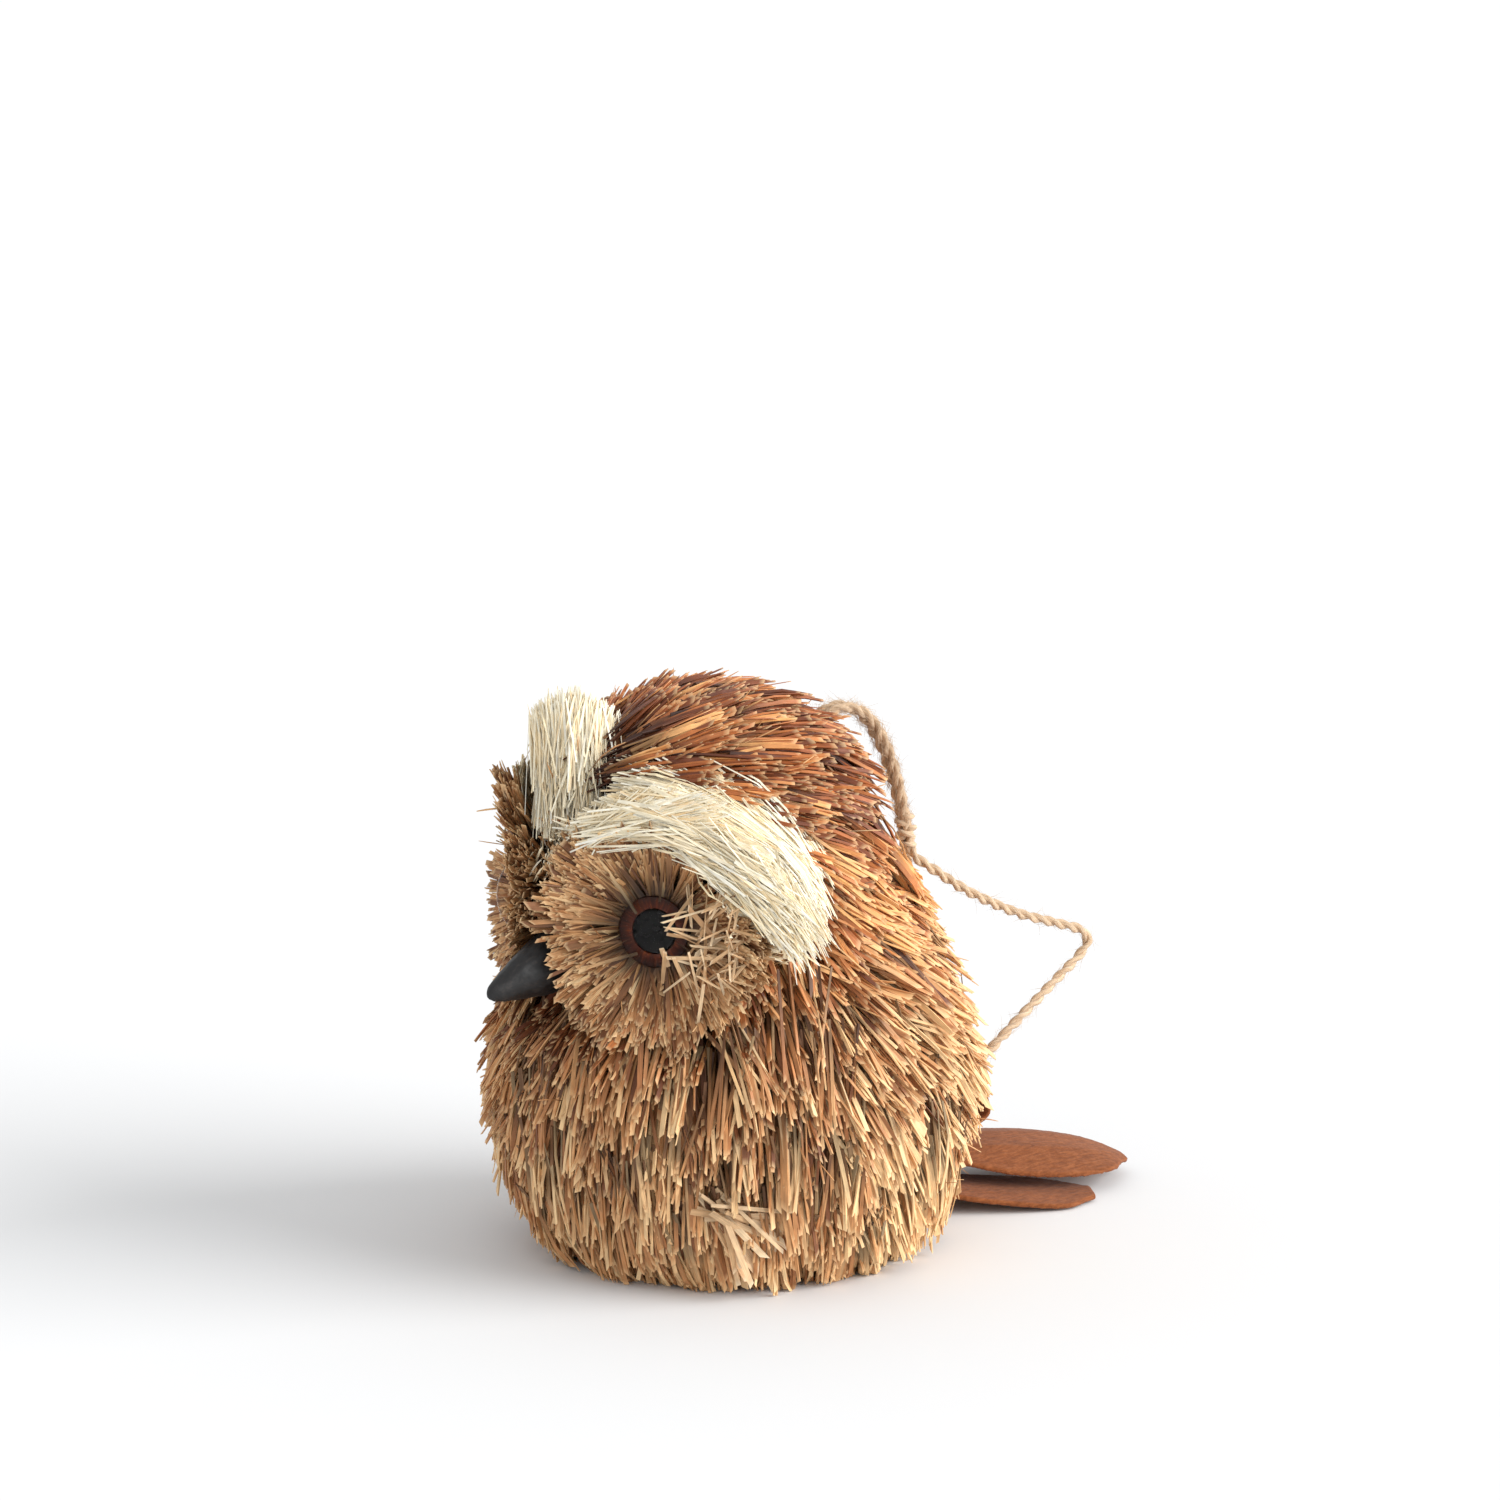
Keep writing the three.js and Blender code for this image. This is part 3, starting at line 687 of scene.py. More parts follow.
def mark_strips(mesh, half_width, lengths, tone, warm, random):
    """Stores what the straw materials read: where on its strip each corner is, and the strip's shade."""
    across = np.array([-1, 1, 1, -1]) * half_width[..., None] / MM
    along = np.broadcast_to((RINGS * lengths[:, None] / MM)[..., None], across.shape)
    seed = np.broadcast_to((random.random(len(lengths)) * 50)[:, None, None], across.shape)
    give(mesh, "fibre", np.stack([across + seed, along, seed], -1))
    shade = [np.broadcast_to(np.clip(a, 0, 1)[:, None, None], across.shape) for a in (tone, warm)]
    shade.append(np.broadcast_to(RINGS[:, None], across.shape))
    give(mesh, "shade", np.stack(shade, -1))
    pack_uv(mesh, len(lengths))


def pack_uv(mesh, count):
    """A cell of the UV layer for each strip, in a grid, much taller than it is wide."""
    columns = math.ceil(math.sqrt(UV_CELL_TALL * count))
    rows = math.ceil(count / columns)
    cell = np.arange(count)
    across = np.array([0.15, 0.85, 0.85, 0.15])
    u = ((cell % columns)[:, None, None] + across[None, None]) / columns
    v = ((cell // columns)[:, None, None] + 0.06 + 0.88 * RINGS[None, :, None]) / rows
    at = np.stack(np.broadcast_arrays(u, v), -1).reshape(-1, 2)
    corner = np.empty(len(mesh.loops), np.int32)
    mesh.loops.foreach_get("vertex_index", corner)
    layer = mesh.uv_layers.new(name="OFBake")
    layer.data.foreach_set("uv", at[corner].astype(np.float32).ravel())


def per_bunch(bunch, random):
    """A random number that the strips of a bunch share."""
    return random.normal(size=bunch.max() + 1)[bunch]


def shaded(bunch, random, base, bunch_spread, own_spread):
    """Each strip's place between dark and light."""
    return base + per_bunch(bunch, random) * bunch_spread + random.normal(size=len(bunch)) * own_spread


# ---- body and crown bristle

CROWN_SOURCE = np.array([0.0, -26.0, 64.0]) * MM  # where the coat of the crown is combed away from
# Flat split straw, as on the body and face.
FLAT = dict(bend=0.2, thick=(0.12, 0.24), roll=34, tip_width=0.95)
BODY_LOOK = dict(FLAT, density=1.9, bunch_of=8, spread=0.9, length=(11, 17), width=0.46, bunch_jitter=6.5,
                 own_jitter=4.5, proud=(-2.5, 1.5), uneven=0.9)
CROWN_LOOK = dict(BODY_LOOK, length=(10, 15), width=0.48, roll=32, bunch_jitter=3.5, own_jitter=2.8,
                  proud=(-2.5, 2.2), uneven=0.8)
COAT_DEPTH = (-0.9, 2.4)  # how far below the coat's surface tips end
COAT_LONGEST, COLLAR_CUT = 17, 9  # the longest strips, and how much less on the collar
GAP_X, GAP_Y, GAP_Z = 4 * MM, (-17, -22), 56 * MM  # where the brows grow instead
TAN_COURSES = 4  # the lower courses, the rest are rust


def collar(points):
    """1 on the short ruff under the face, 0 elsewhere. Its straw is rustier, its own colour, and darker, part
    of it painted shade under the face discs.
    """
    _, y, z = points.T / MM
    return ease(10, 26, -y) * ease(29, 35, z) * (1 - ease(44, 50, z))


def coat_way(points, normals):
    """Which way the coat lies: away from the brows over the crown, down and out over the body."""
    height = points[:, 2:] / MM
    crown = ease(44, 60, height)
    rear = ease(-12, 10, points[:, 1:2] / MM)
    back = unit(points - CROWN_SOURCE)
    sweep = 0.1 + rear * (0.15 + 0.75 * ease(18, 48, height))
    fall = unit(np.concatenate([0 * sweep, sweep, -np.ones_like(sweep)], axis=1))
    pull = back * crown + fall * (1 - crown)
    flat = pull - normals * dot(pull, normals)
    upper = ease(8, 34, height) * (1 - crown)
    lift = np.radians(17 + upper * (12 + 10 * rear + 20 * collar(points)[:, None]) - crown)
    level = np.concatenate([normals[:, :2], np.maximum(normals[:, 2:], -0.25)], axis=1)
    return unit(unit(flat) * np.cos(lift) + unit(level) * np.sin(lift))


def warmth(points):
    """How rusty the straw is: most on the crown and collar, least at the hem."""
    height = points[:, 2] / MM
    return 0.12 + 0.95 * ease(24, 56, height) + 0.4 * collar(points)


def overhang(tips, name):
    """How much longer the coat is in places, in mm: it stands off the back of the crown and brushes the
    floor, and it is shorter at the nape."""
    _, y, z = tips.T / MM
    crest = 4.2 * ease(67, 73, z) * ease(-2, 8, y)
    nape = -2.2 * ease(8, 14, y) * ease(50, 56, z) * (1 - ease(66, 70, z))
    return crest + nape + (1.6 if name == "bristle_hem" else 0)


def make_coat():
    """Fewer strips lie on the outside than below it, so that long lengths of them show."""
    for order, name in enumerate([*COURSES, *CROWN_ROWS]):
        random = draws("coat", order)
        look = BODY_LOOK if name in COURSES else CROWN_LOOK
        tips, normals, bunch = tufts(name, look, random)
        before = np.where(tips[:, 0] < GAP_X, *GAP_Y) * MM
        brow_gap = (tips[:, 1] < before) & (tips[:, 2] > GAP_Z)
        tips, normals, bunch = kept(~brow_gap, tips, normals, bunch)
        share = random.random(bunch.max() + 1)[bunch] ** 0.8
        ways = coat_way(tips, normals)
        tips = tips - normals * (np.interp(share, (0, 1), COAT_DEPTH) * MM)[:, None]
        tips = tips + ways * (overhang(tips, name) * MM)[:, None]
        height = tips[:, 2] / MM
        # Painted shade: strips whose tips sit deeper in the coat are made darker, and so is the collar under
        # the face discs.
        tone = shaded(bunch, random, 0.72, 0.2, 0.22) - 0.5 * share - 0.62 * collar(tips)
        # Painted light: the back and flank, which face the key light, are made lighter below the crown.
        tone += 0.3 * ease(-12, 12, tips[:, 1] / MM) * (1 - ease(50, 60, height))
        # Painted light: lighter near the hem, where more light falls. The crown is made darker, its own rustier
        # straw.
        tone += 0.1 * (1 - ease(10, 24, height)) - 0.28 * ease(56, 66, height)
        warm = warmth(tips) + random.normal(size=len(tips)) * 0.12
        longest = (COAT_LONGEST - COLLAR_CUT * collar(tips)) * MM
        if name in CROWN_ROWS:
            longest = np.clip(1.3 * tips[:, 1] + 36 * MM, 4.5 * MM, longest)
        finish = STRAW, "straw_tan" if order < TAN_COURSES else "straw_rust", name
        strips(name + "_strips", finish, tips, ways, normals, bunch, look, warm, tone, random, longest)


# ---- face discs and brows

DISC_LOOK = dict(FLAT, density=4.4, bunch_of=6, spread=0.5, bend=0.0, length=(7, 10), width=0.52,
                 bunch_jitter=4, own_jitter=3.5, proud=(-1.0, 2.0), uneven=0.6)
DISC_LIFT = 0.2
DISC_TOP = {"left": 0.6, "right": 2.6}  # how much the longest strips at the top gain
DISC_LEFT_TOP = 12.9  # above the eye, where the left disc's strips end
BEAK_BESIDE, BEAK_BELOW = 3.8 * MM, 1 * MM  # how far the discs' tips keep from the beak
BROW_EDGE = 16.5  # where the brow starts, outward plus up from the eye
BROW_LOOK = dict(density=12.0, bunch_of=14, spread=0.8, bend=0.3, length=(13, 21), width=0.28,
                 thick=(0.06, 0.1), roll=40, tip_width=0.4, bunch_jitter=2.0, own_jitter=1.6,
                 proud=(-5.0, 0.6), uneven=0.9)
BROW_SWEEP = ((-12, 36), (2, 22), (14, -14), (25, -46))  # outward in mm, and the angle fibres rise at there
BROW_LIFT = math.radians(7)
BROW_START = -13.5  # outward from the eye, where the inner fibres start
BROW_CLEAR = 13.4  # above the eye, where the lowest inner fibres start
LEVEL = 0.05  # the least slope that ends a fibre at an edge
CREAM, CREAM_TONE = (CREAM_FIBRE, "straw_cream"), (0.6, 0.12, 0.2)
START_LOOK = dict(BROW_LOOK, density=16.0, bunch_of=12, bend=None, length=(14, 24), proud=(-1.5, 0.5),
                  uneven=0.3)
START_ROOT, START_WIDE = np.array([8.2, -31.9, 65.0]) * MM, 10
# Strips that lie singly.
LONE = dict(bend=None, thick=(0.06, 0.1), roll=60, bunch_jitter=0, own_jitter=0, proud=(0, 0), uneven=0)
FRINGE_LOOK = dict(LONE, length=(7, 11), width=0.26, roll=50, tip_width=0.5, own_jitter=5)
FRINGE_COUNT = 620
BRUSH_LOOK = dict(BROW_LOOK, bend=None, length=(9, 16), width=0.22, tip_width=0.8, bunch_jitter=5,
                  own_jitter=4, proud=(-0.5, 0.5), uneven=0.3)
BRUSH = dict(foot=(1.4, -29.2, 62.5), top=(-7.6, -21.4, 77), across=(2.6, 7.0), deep=(3.2, 5.6))
BRUSH_COUNT, BRUSH_BUNCH = 7000, 12


def make_disc(side):
    """Strips that fan out from the edge of the eye, dense at the cut rim of the dish."""
    random = draws("disc", SIDES[side])
    eye, outward, up, axis = EYES[side]
    name = f"face_disc_{side}"
    tips, _, bunch = tufts(name, DISC_LOOK, random, axis)
    out, rise, fore = from_eye(side, tips)
    radius = np.hypot(out, rise)
    keep = random.random(len(tips)) < np.clip((radius - 6.5) / 6.5, 0, 1) ** 1.3
    keep &= out + rise < BROW_EDGE + random.normal(size=len(tips)) * 0.8
    beak_low, beak_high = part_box("beak")
    beside = np.abs(tips[:, 0]) > BEAK_BESIDE
    keep &= beside | (tips[:, 2] < beak_low.z - BEAK_BELOW) | (tips[:, 2] > beak_high.z)
    if side == "left":
        keep &= (rise < DISC_LEFT_TOP + random.normal(size=len(tips)) * 0.6) | (out > 4)
    tips, bunch, out, rise, fore, radius = kept(keep, tips, bunch, out, rise, fore, radius)
    start = random.uniform(5.0, 6.2, len(tips))
    depth = np.minimum(-1.9, fore - 0.22 * (radius - start)) - random.uniform(0, 0.8, len(tips))
    roots = eye + (outward * out[:, None] + up * rise[:, None]) * (start / radius * MM)[:, None]
    roots = roots + axis * (depth * MM)[:, None]
    top = ease(0.4, 0.95, rise / radius) * ease(11, 15, radius)
    lean = DISC_LIFT * ease(9, 15, radius) * (1 - top)
    ways = unit(unit(tips - roots) + axis * lean[:, None])
    longer = DISC_TOP[side] * top * random.random(len(tips))
    tips = tips + ways * (longer * MM)[:, None]
    tone = shaded(bunch, random, 0.4, 0.22, 0.3)
    warm = 0.25 + random.normal(size=len(tips)) * 0.18 + 0.25 * ease(6, 14, -rise)
    normals = unit(axis - ways * (ways @ axis)[:, None])
    strips(f"{name}_strips", (FACE_STRAW, "straw_face", name), tips, ways, normals, bunch, DISC_LOOK, warm,
           tone, random)


def make_brow(side):
    """Fine pale fibre brushed out from above the beak and over the side of the head."""
    random = draws("brow", SIDES[side])
    name = f"brow_{side}"
    tips, normals, bunch = tufts(name, BROW_LOOK, random)
    out, rise, fore = from_eye(side, tips)
    if side == "right":
        beside = (out > 6) & (fore < -5)
        tips, normals, bunch, out, rise = kept(beside, tips, normals, bunch, out, rise)
    places, angles = zip(*BROW_SWEEP)
    angle = np.radians(np.interp(out, places, angles))
    pull = across_eye(side, angle)
    flat = unit(pull - normals * dot(pull, normals))
    ways = flat * math.cos(BROW_LIFT) + normals * math.sin(BROW_LIFT)
    tone = shaded(bunch, random, *CREAM_TONE)
    warm = 0.35 + per_bunch(bunch, random) * 0.3
    climb = np.sin(angle)
    slope = climb + np.cos(angle)
    to_edge = np.where(slope > LEVEL, (out + rise - BROW_EDGE + 2) / np.maximum(slope, LEVEL), 99)
    to_top = np.where(climb > LEVEL, (rise - BROW_CLEAR) / np.maximum(climb, LEVEL), 99)
    longest = np.maximum(np.minimum(np.minimum(out - BROW_START, to_edge), to_top), 2.0) * MM
    strips(f"{name}_fibres", (*CREAM, name), tips, ways, normals, bunch, BROW_LOOK, warm, tone, random,
           longest)


def make_brow_start():
    """The left brow's inner fibres start together beside the foot of the brush."""
    random = draws("brow_start")
    tips, normals, bunch = tufts("brow_left", START_LOOK, random)
    inner = from_eye("left", tips)[0] < START_WIDE
    tips, normals, bunch = kept(inner, tips, normals, bunch)
    tips = tips + normals * (random.uniform(0.2, 1.3, len(tips)) * MM)[:, None]
    roots = START_ROOT + random.normal(size=tips.shape) * 0.7 * MM
    tone = shaded(bunch, random, *CREAM_TONE)
    warm = 0.3 + per_bunch(bunch, random) * 0.3
    longest = np.linalg.norm(tips - roots, axis=1)
    strips("brow_left_start", CREAM, tips, unit(tips - roots), normals, bunch, START_LOOK, warm, tone, random,
           longest)


def make_fringe():
    """The left brow's outer lower fibres splay down over the edge of the face disc."""
    random = draws("fringe")
    axis = EYES["left"][3]
    count = FRINGE_COUNT
    share = random.random(count)
    out, rise = np.interp(share, (0, 1), (7, 19)), np.interp(share, (0, 1), (12, 1.0))
    shift = random.uniform(-0.6, 3.2, count)
    angle = np.radians(np.interp(share, (0, 1), (-22, -58)) + random.normal(size=count) * 7)
    ways = unit(across_eye("left", angle) + axis * 0.1)
    fore = random.uniform(0.6, 2.8, count) - 0.35 * shift - 2.2 * ease(0.5, 1, share)
    roots = at_eye("left", out + shift, rise + shift, fore)
    tips = roots + ways * (random.uniform(2.5, 7.5, count) * MM)[:, None]
    tone = random.uniform(0.3, 1, count)
    warm = random.uniform(0, 0.7, count)
    strips("brow_left_fringe", CREAM, tips, ways, unit(axis + 0 * ways), np.arange(count), FRINGE_LOOK, warm,
           tone, random)


def make_brush():
    """The inner end of the right brow stands up in a brush that widens to its ragged top."""
    random = draws("brush")
    foot, top = (np.array(BRUSH[end]) * MM for end in ("foot", "top"))
    axis = unit(top - foot)
    across = unit(np.cross(np.cross(axis, [0.64, 0.77, 0.0]), axis))
    deep = np.cross(axis, across)
    count = BRUSH_COUNT
    radius, turn = np.sqrt(random.random(count)), random.random(count) * 2 * math.pi
    u, v = radius * np.cos(turn), radius * np.sin(turn)
    roots, ends = (
        middle + MM * (across * (u * BRUSH["across"][i])[:, None] + deep * (v * BRUSH["deep"][i])[:, None])
        for i, middle in enumerate((foot, top)))
    ways = unit(ends - roots)
    drop = random.uniform(-1.8, 4.5, count) + 2.4 * (u + 0.2) ** 2
    tips = ends - ways * (drop * MM)[:, None]
    bunch = np.arange(count) // BRUSH_BUNCH
    tone = shaded(bunch, random, *CREAM_TONE)
    warm = 0.25 + per_bunch(bunch, random) * 0.3
    normals = unit(across * u[:, None] + deep * v[:, None])
    longest = np.linalg.norm(tips - roots, axis=1)
    strips("brow_right_brush", CREAM, tips, ways, normals, bunch, BRUSH_LOOK, warm, tone, random, longest)


# ---- loose and broken strips

LOOSE_LOOK = dict(LONE, length=(2.8, 6.5), width=0.38, thick=(0.1, 0.2), tip_width=0.9)
LOOSE_COUNT, LOOSE_OVER_EYE = 76, 12
RIDGE_LOOK = dict(DISC_LOOK, bend=0.2)
RIDGE_TRIES, RIDGE_FRONT, RIDGE_TOP = 1800, -22 * MM, 64 * MM
SPLAY_LOOK = dict(LONE, length=(9, 14), width=0.8, thick=(0.16, 0.26), roll=25, tip_width=0.95,
                  own_jitter=6, proud=(-0.8, 0.8))
SPLAY_ROOT = np.array([23.4, -22.6, 13.5]) * MM
SPLAY_COUNT = 24
STRAY_LOOK = dict(LONE, bend=0.2, length=(4, 8), width=0.16, tip_width=0.6, proud=(1.5, 2.5), uneven=0.5)
STRAYS_EACH = 16


def make_loose_strips():
    """A broken tuft that sticks out over the outer side of the left eye."""
    random = draws("loose")
    axis = EYES["left"][3]
    count = LOOSE_COUNT
    over_eye = np.arange(count) < LOOSE_OVER_EYE
    out = np.where(over_eye, random.uniform(2.2, 4.5, count), random.uniform(5.5, 13, count))
    rise = np.where(over_eye, random.uniform(-2.5, 4.0, count), random.uniform(-6, 5, count))
    fore = np.where(over_eye, random.uniform(3.2, 4.6, count), random.uniform(1.5, 4.0, count))
    tips = at_eye("left", out, rise, fore)
    angle = np.radians(np.where(over_eye, random.normal(178, 38, count), random.uniform(30, 290, count)))
    ways = unit(across_eye("left", angle) + axis * random.uniform(0.15, 0.6, count)[:, None])
    tone = random.uniform(0.1, 0.85, count)
    warm = random.uniform(0, 0.3, count)
    strips("loose_face_strips", (LOOSE_STRAW, "straw_face"), tips, ways, unit(axis + 0 * ways),
           np.arange(count), LOOSE_LOOK, warm, tone, random)


def make_ridge():
    """Face strips that fill the ridge between the two discs, up to where the brows meet."""
    random = draws("ridge")
    tips, normals, _ = outer_points("crown_row_front", RIDGE_TRIES, random)
    tips, normals = kept((tips[:, 1] < RIDGE_FRONT) & (tips[:, 2] < RIDGE_TOP), tips, normals)
    count = len(tips)
    ways = unit(np.array([0.0, -0.55, 0.6]) + 0.5 * normals + 0.16 * random.normal(size=tips.shape))
    tips = tips - normals * (random.uniform(0.0, 2.5, count) * MM)[:, None]
    warm = random.uniform(0, 0.6, count)
    tone = random.uniform(0, 0.8, count)
    strips("ridge_strips", (FACE_STRAW, "straw_face"), tips, ways, normals, np.arange(count), RIDGE_LOOK,
           warm, tone, random)


def make_splay():
    """A bunch of wide strips that has come loose low on the left side and fans over the hem."""
    random = draws("splay")
    count = SPLAY_COUNT
    along = unit(np.array([0.0, 0.6, -0.44]))
    outside = unit(np.array([0.85, -0.5, 0.1]))
    sideways = np.cross(along, outside)
    angle = np.linspace(-0.6, 0.62, count) + random.normal(size=count) * 0.06
    ways = along * np.cos(angle)[:, None] + sideways * np.sin(angle)[:, None]
    ways = unit(ways + outside * random.uniform(0.2, 0.45, count)[:, None])
    reach = random.uniform(8.0, 12.5, count) * MM
    tips = SPLAY_ROOT + ways * reach[:, None] + sideways * (random.normal(size=count) * 0.5 * MM)[:, None]
    warm = random.uniform(0, 0.45, count)
    tone = random.uniform(0.15, 0.8, count)
    strips("loose_hem_strips", (LOOSE_STRAW, "straw_tan"), tips, ways, unit(outside + 0 * ways),
           np.arange(count), SPLAY_LOOK, warm, tone, random)


def make_strays():
    """Thin stray strips that leave the coat at their own angles."""
    random = draws("strays")
    found = [outer_points(name, STRAYS_EACH, random)[:2]
             for name in (*COURSES, *CROWN_ROWS, "face_disc_left", "face_disc_right")]
    tips, normals = (np.concatenate(arrays) for arrays in zip(*found))
    ways = unit(coat_way(tips, normals) + 0.45 * normals + 0.45 * random.normal(size=tips.shape))
    count = len(tips)
    warm = random.uniform(0, 0.6, count)
    tone = random.uniform(0.4, 1, count)
    strips("stray_strips", (STRAW, "straw_tan"), tips, ways, normals, np.arange(count), STRAY_LOOK, warm,
           tone, random)


make_coat()
for side in SIDES:
    make_disc(side)
    make_brow(side)
make_brow_start()
make_fringe()
make_brush()
make_loose_strips()
make_ridge()
make_splay()
make_strays()


# ---- eyes

SHARP = math.radians(35)  # edges that turn more than this stay crisp


def lathe(name, profile, centre, axis, closed=False, sides=72):
    """A solid turned about an axis. profile is (radius, height) in mm; closed makes it a ring."""
    side = unit(np.cross(axis, [0.3, 0.2, 1.0]))
    other = np.cross(axis, side)
    radii, heights = np.array(profile, float).T * MM
    ring, turn = circles(side[None], other[None], sides)
    verts = centre + radii[:, None, None] * ring + heights[:, None, None] * axis
    faces = ring_faces(len(profile) + closed, sides) % (len(profile) * sides)
    made = new_mesh(name, verts.reshape(-1, 3), faces, True)
    polar = np.stack(np.broadcast_arrays(np.cos(turn), np.sin(turn), radii[:, None] / MM), -1)
    give(made.data, "polar", polar)
    shape = bmesh.new()
    shape.from_mesh(made.data)
    bmesh.ops.remove_doubles(shape, verts=shape.verts, dist=1e-7)
    bmesh.ops.recalc_face_normals(shape, faces=shape.faces)
    for edge in shape.edges:
        edge.smooth = edge.calc_face_angle(0) < SHARP
    shape.to_mesh(made.data)
    shape.free()
    return made

def glass_material():
    """Clear cast glass with a few faint waves."""
    mat, shader = material("lens_glass", Base_Color=(0.97, 0.96, 0.95, 1), Transmission_Weight=1.0, IOR=1.03)
    waves = noise(mat, own_place(mat), 260.0, 2.0)
    join(mat, shader, Roughness=remap(mat, waves, 0.3, 0.7, 0.01, 0.02), Normal=relief(mat, waves, 0.000002))
    return mat


def iris_material():
    """Dark red-brown paint with rays, darkest at its outer edge."""
    mat, shader = material("iris_paint", Specular_IOR_Level=0.2)
    polar = stored(mat, "polar")
    rays = noise(mat, stretched(mat, polar, 9.0, 9.0, 0.5), 1.0, 3.0, 0.6)
    colour = ramp(mat, rays, (0.3, (40, 12, 4)), (0.55, (84, 32, 12)), (0.75, (138, 70, 34)))
    edge = remap(mat, part_of(mat, polar, "Z"), 3.4, 4.8, 1.0, 0.22)
    join(mat, shader, Base_Color=times(mat, colour, edge), Roughness=remap(mat, rays, 0.3, 0.7, 0.4, 0.25))
    return mat


def pupil_material():
    mat, shader = material("pupil_paint", Specular_IOR_Level=0.2)
    cloud = noise(mat, own_place(mat), 900.0, 2.0)
    join(mat, shader, Base_Color=ramp(mat, cloud, (0.3, (3, 3, 4)), (0.7, (8, 7, 8))),
         Roughness=remap(mat, cloud, 0.3, 0.7, 0.2, 0.3))
    return mat


def spread_of(name, centre, axis):
    """A turned CAD node's greatest radius, and the lowest and highest it reaches along its axis, in mm."""
    corners = triangles_of(name).reshape(-1, 3) - centre
    height = corners @ axis
    radius = np.linalg.norm(corners - height[:, None] * axis, axis=1)
    return radius.max() / MM, height.min() / MM, height.max() / MM


def make_eye(side, glass, iris, pupil):
    centre, _, _, axis = EYES[side]
    wide, low, high = spread_of(f"eye_{side}_dome", centre, axis)
    arc = [(wide * math.cos(t), high * math.sin(t)) for t in np.linspace(0.02, math.pi / 2, 22)]
    base = [(0, low), (wide - 0.12, low), (wide - 0.02, low + 0.1)]
    dome = lathe(f"eye_{side}_glass", [*base, *arc[:-1], (0, high)], centre, axis)
    finish_piece(dome, glass, "eye_lens", f"eye_{side}_dome")
    wide, low, high = spread_of(f"eye_{side}_iris", centre, axis)
    hole, back, front = spread_of(f"eye_{side}_pupil", centre, axis)
    ring = [(hole + 0.12, low), (wide, low), (wide, high - 0.12), (wide - 0.12, high),
            (wide - 0.9, high - 0.06), (hole + 0.12, high - 0.14)]
    finish_piece(lathe(f"eye_{side}_ring", ring, centre, axis, True), iris, "iris", f"eye_{side}_iris")
    disc = [(0, back), (hole, back), (hole, front - 0.08), (hole - 0.08, front), (0, front)]
    finish_piece(lathe(f"eye_{side}_black", disc, centre, axis), pupil, "pupil", f"eye_{side}_pupil")


def make_eyes():
    paints = glass_material(), iris_material(), pupil_material()
    for side in SIDES:
        make_eye(side, *paints)


make_eyes()


# ---- beak, tail and base

def softened(name, source, cell, rounds):
    """A finer copy of a CAD node with its edges worn round."""
    made = placed(name, NODES[source].data.copy())
    cells = made.modifiers.new("cells", "REMESH")
    cells.mode, cells.voxel_size = "VOXEL", cell * MM
    wear = made.modifiers.new("wear", "SMOOTH")
    wear.factor, wear.iterations = 0.5, rounds
    depsgraph = bpy.context.evaluated_depsgraph_get()
    mesh = bpy.data.meshes.new_from_object(made.evaluated_get(depsgraph))
    made.modifiers.clear()
    made.data = mesh
    mesh.polygons.foreach_set("use_smooth", np.ones(len(mesh.polygons), bool))
    return made


def roughened(made, depth, scale):
    """Moves a piece's skin in and out a little by noise."""
    mesh = made.data
    places = np.array([vertex.co for vertex in mesh.vertices])
    normals = np.array([vertex.normal for vertex in mesh.vertices])
    height = np.array([turbulence(Vector(place * scale), 3, False) for place in places])
    mesh.vertices.foreach_set("co", (places + normals * height[:, None] * depth * MM).ravel())
    mesh.update()
    return made


def beak_material():
    """Black wood, worn to grey along its grain."""
    mat, shader = material("black_wood", Specular_IOR_Level=0.45)
    place = own_place(mat)
    grain = noise(mat, stretched(mat, place, 1400.0, 260.0, 700.0), 1.0, 4.0, 0.65)
    wear = noise(mat, place, 240.0, 3.0)
    colour = ramp(mat, grain, (0.3, (10, 10, 11)), (0.55, (24, 22, 22)), (0.8, (60, 54, 51)))
    join(mat, shader, Base_Color=times(mat, colour, remap(mat, wear, 0.3, 0.7, 0.7, 1.3)),
         Roughness=remap(mat, grain, 0.3, 0.7, 0.36, 0.56), Normal=relief(mat, grain, 0.00008))
    return mat


def bark_material():
    """Pressed bark: brown, matt, with fine fibres along the blade."""
    mat, shader = material("pressed_bark", Specular_IOR_Level=0.15, Sheen_Weight=0.08, Sheen_Roughness=0.6)
    place = own_place(mat)
    fibre = noise(mat, stretched(mat, place, 2600.0, 420.0, 2600.0), 1.0, 4.0, 0.7)
    speck = noise(mat, place, 1900.0, 3.0, 0.7)
    cloud = noise(mat, place, 90.0, 2.0)
    colour = ramp(mat, fibre, (0.25, (102, 54, 26)), (0.5, (132, 74, 38)), (0.75, (156, 95, 55)))
    colour = times(mat, colour, remap(mat, speck, 0.3, 0.7, 0.86, 1.12))
    join(mat, shader, Base_Color=times(mat, colour, remap(mat, cloud, 0.3, 0.7, 0.9, 1.08)),
         Roughness=remap(mat, speck, 0.3, 0.7, 0.95, 0.8), Normal=relief(mat, fibre, 0.00012))
    return mat


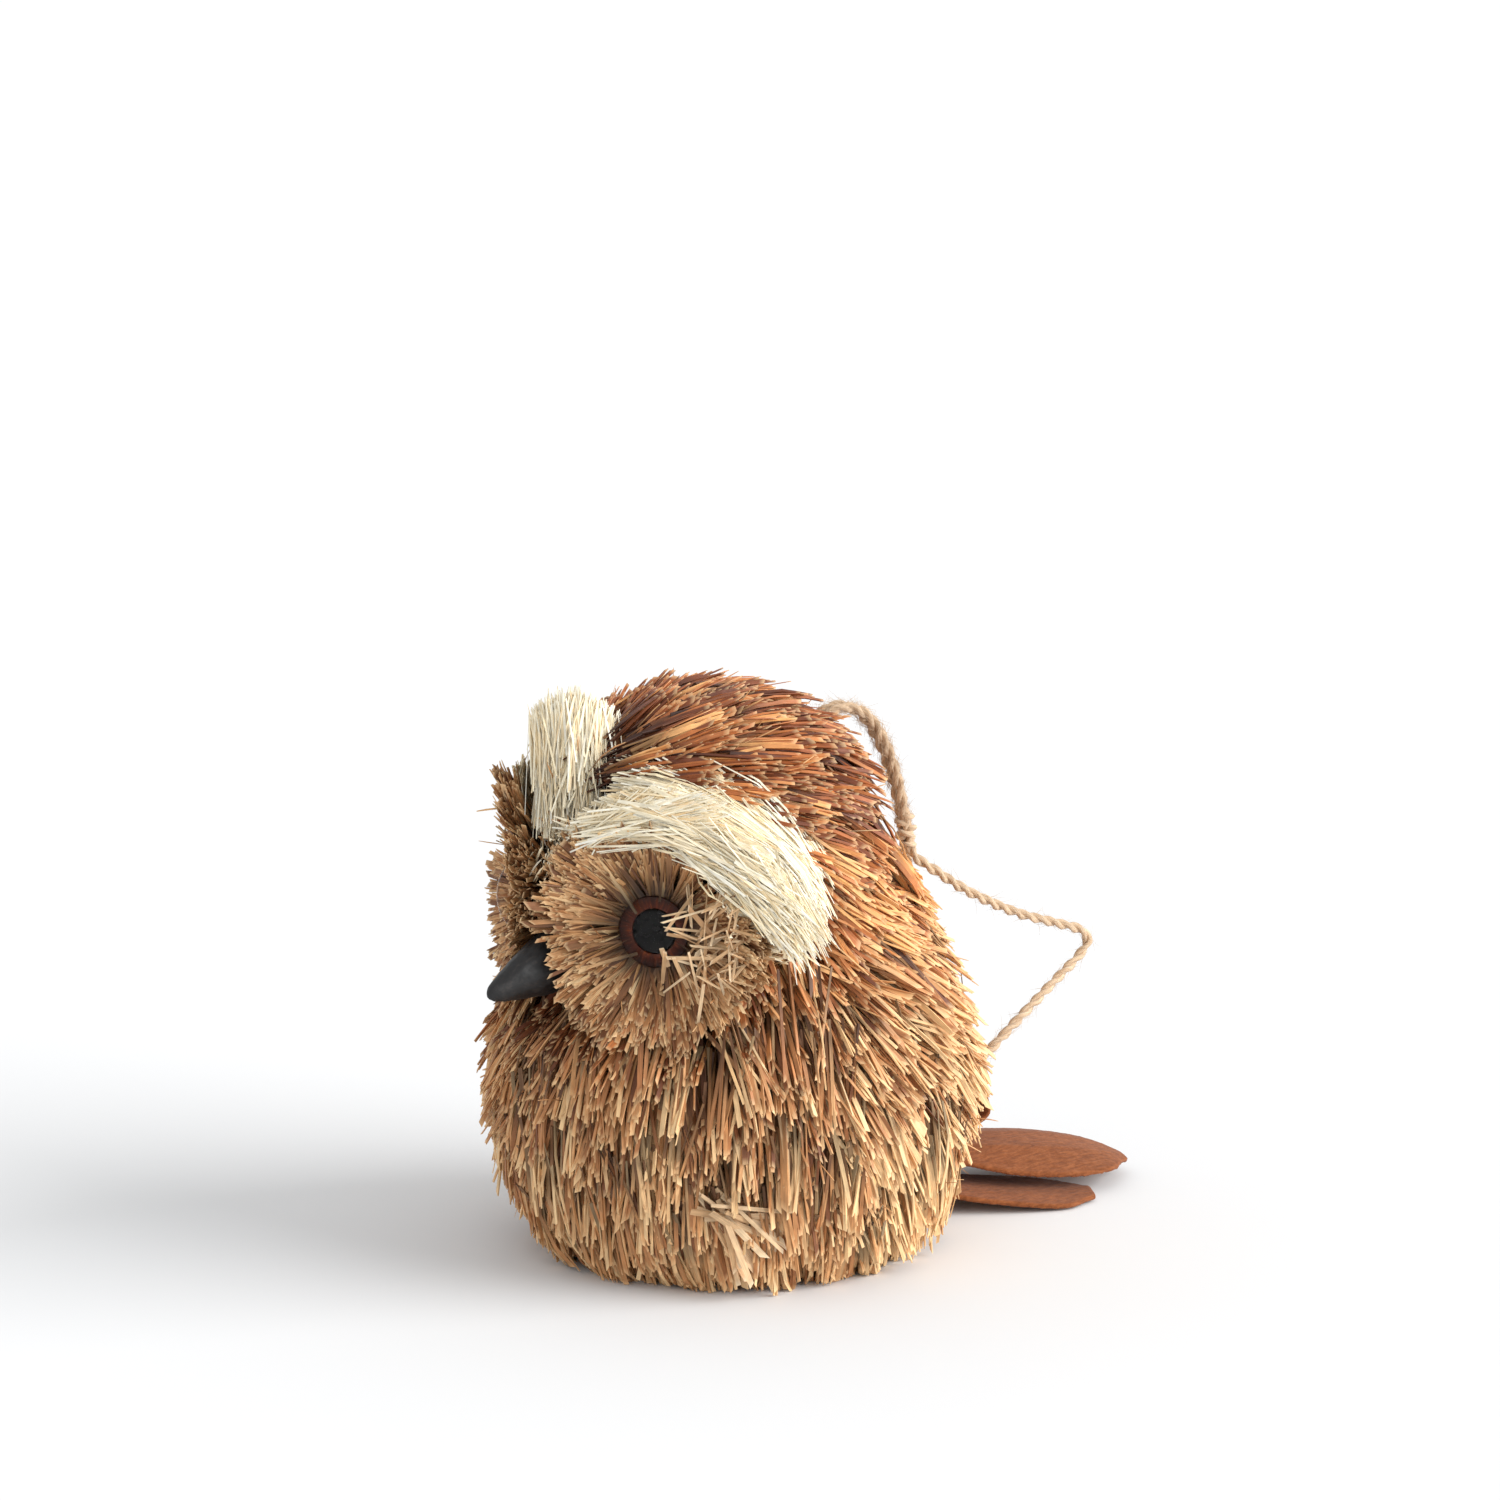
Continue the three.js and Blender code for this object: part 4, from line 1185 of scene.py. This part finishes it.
def mottled(name, dark, light, scale, rough, depth=0.00005, detail=3.0, grit=0.55, **sockets):
    """An even material whose colour and roughness drift a little."""
    mat, shader = material(name, **sockets)
    drift = noise(mat, own_place(mat), scale, detail, grit)
    join(mat, shader, Base_Color=ramp(mat, drift, (0.3, dark), (0.7, light)),
         Roughness=remap(mat, drift, 0.3, 0.7, *rough), Normal=relief(mat, drift, depth))
    return mat


def make_beak():
    beak = roughened(softened("beak_carved", "beak", 0.22, 8), 0.08, 500)
    finish_piece(beak, beak_material(), "beak", "beak")


def make_tail():
    bark = bark_material()
    for name in NODES:
        if name.startswith("tail_leaf"):
            blade = roughened(softened(name + "_blade", name, 0.19, 14), 0.04, 900)
            finish_piece(blade, bark, "bark", name)


def make_base():
    """The round card that the hem is trimmed flush with."""
    low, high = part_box("base_disc")
    centre = np.array([(low.x + high.x) / 2, (low.y + high.y) / 2, 0.0])
    wide, thick = (high.x - low.x) / 2 / MM, high.z / MM
    rim = [(0, 0), (wide - 0.3, 0), (wide, 0.3), (wide, thick - 0.3), (wide - 0.3, thick), (0, thick)]
    card = mottled("grey_brown_card", (120, 92, 66), (164, 132, 100), 1300.0, (0.95, 0.8), 0.00006, 4.0,
                   0.7, Specular_IOR_Level=0.2)
    finish_piece(lathe("base_card", rim, centre, np.array([0.0, 0.0, 1.0])), card, "card", "base_disc")


make_beak()
make_tail()
make_base()


# ---- parts hidden inside

def finish_hidden():
    foam = mottled("packed_foam", (214, 202, 178), (232, 222, 202), 700.0, (0.9, 0.8))
    cane = mottled("bamboo", (196, 154, 92), (226, 190, 128), 400.0, (0.6, 0.5))
    black = mottled("stem_plastic", (34, 32, 31), (48, 45, 43), 500.0, (0.5, 0.4))
    steel = mottled("bright_steel", (190, 190, 188), (214, 214, 212), 900.0, (0.4, 0.3), Metallic=1.0)
    uses = {"body_core": foam, "head_core": foam, "neck_peg": cane, "beak_peg": cane, "hanger_pin": steel,
            "eye_left_stem": black, "eye_right_stem": black}
    for name, mat in uses.items():
        NODES[name].data.materials.clear()
        NODES[name].data.materials.append(mat)


finish_hidden()
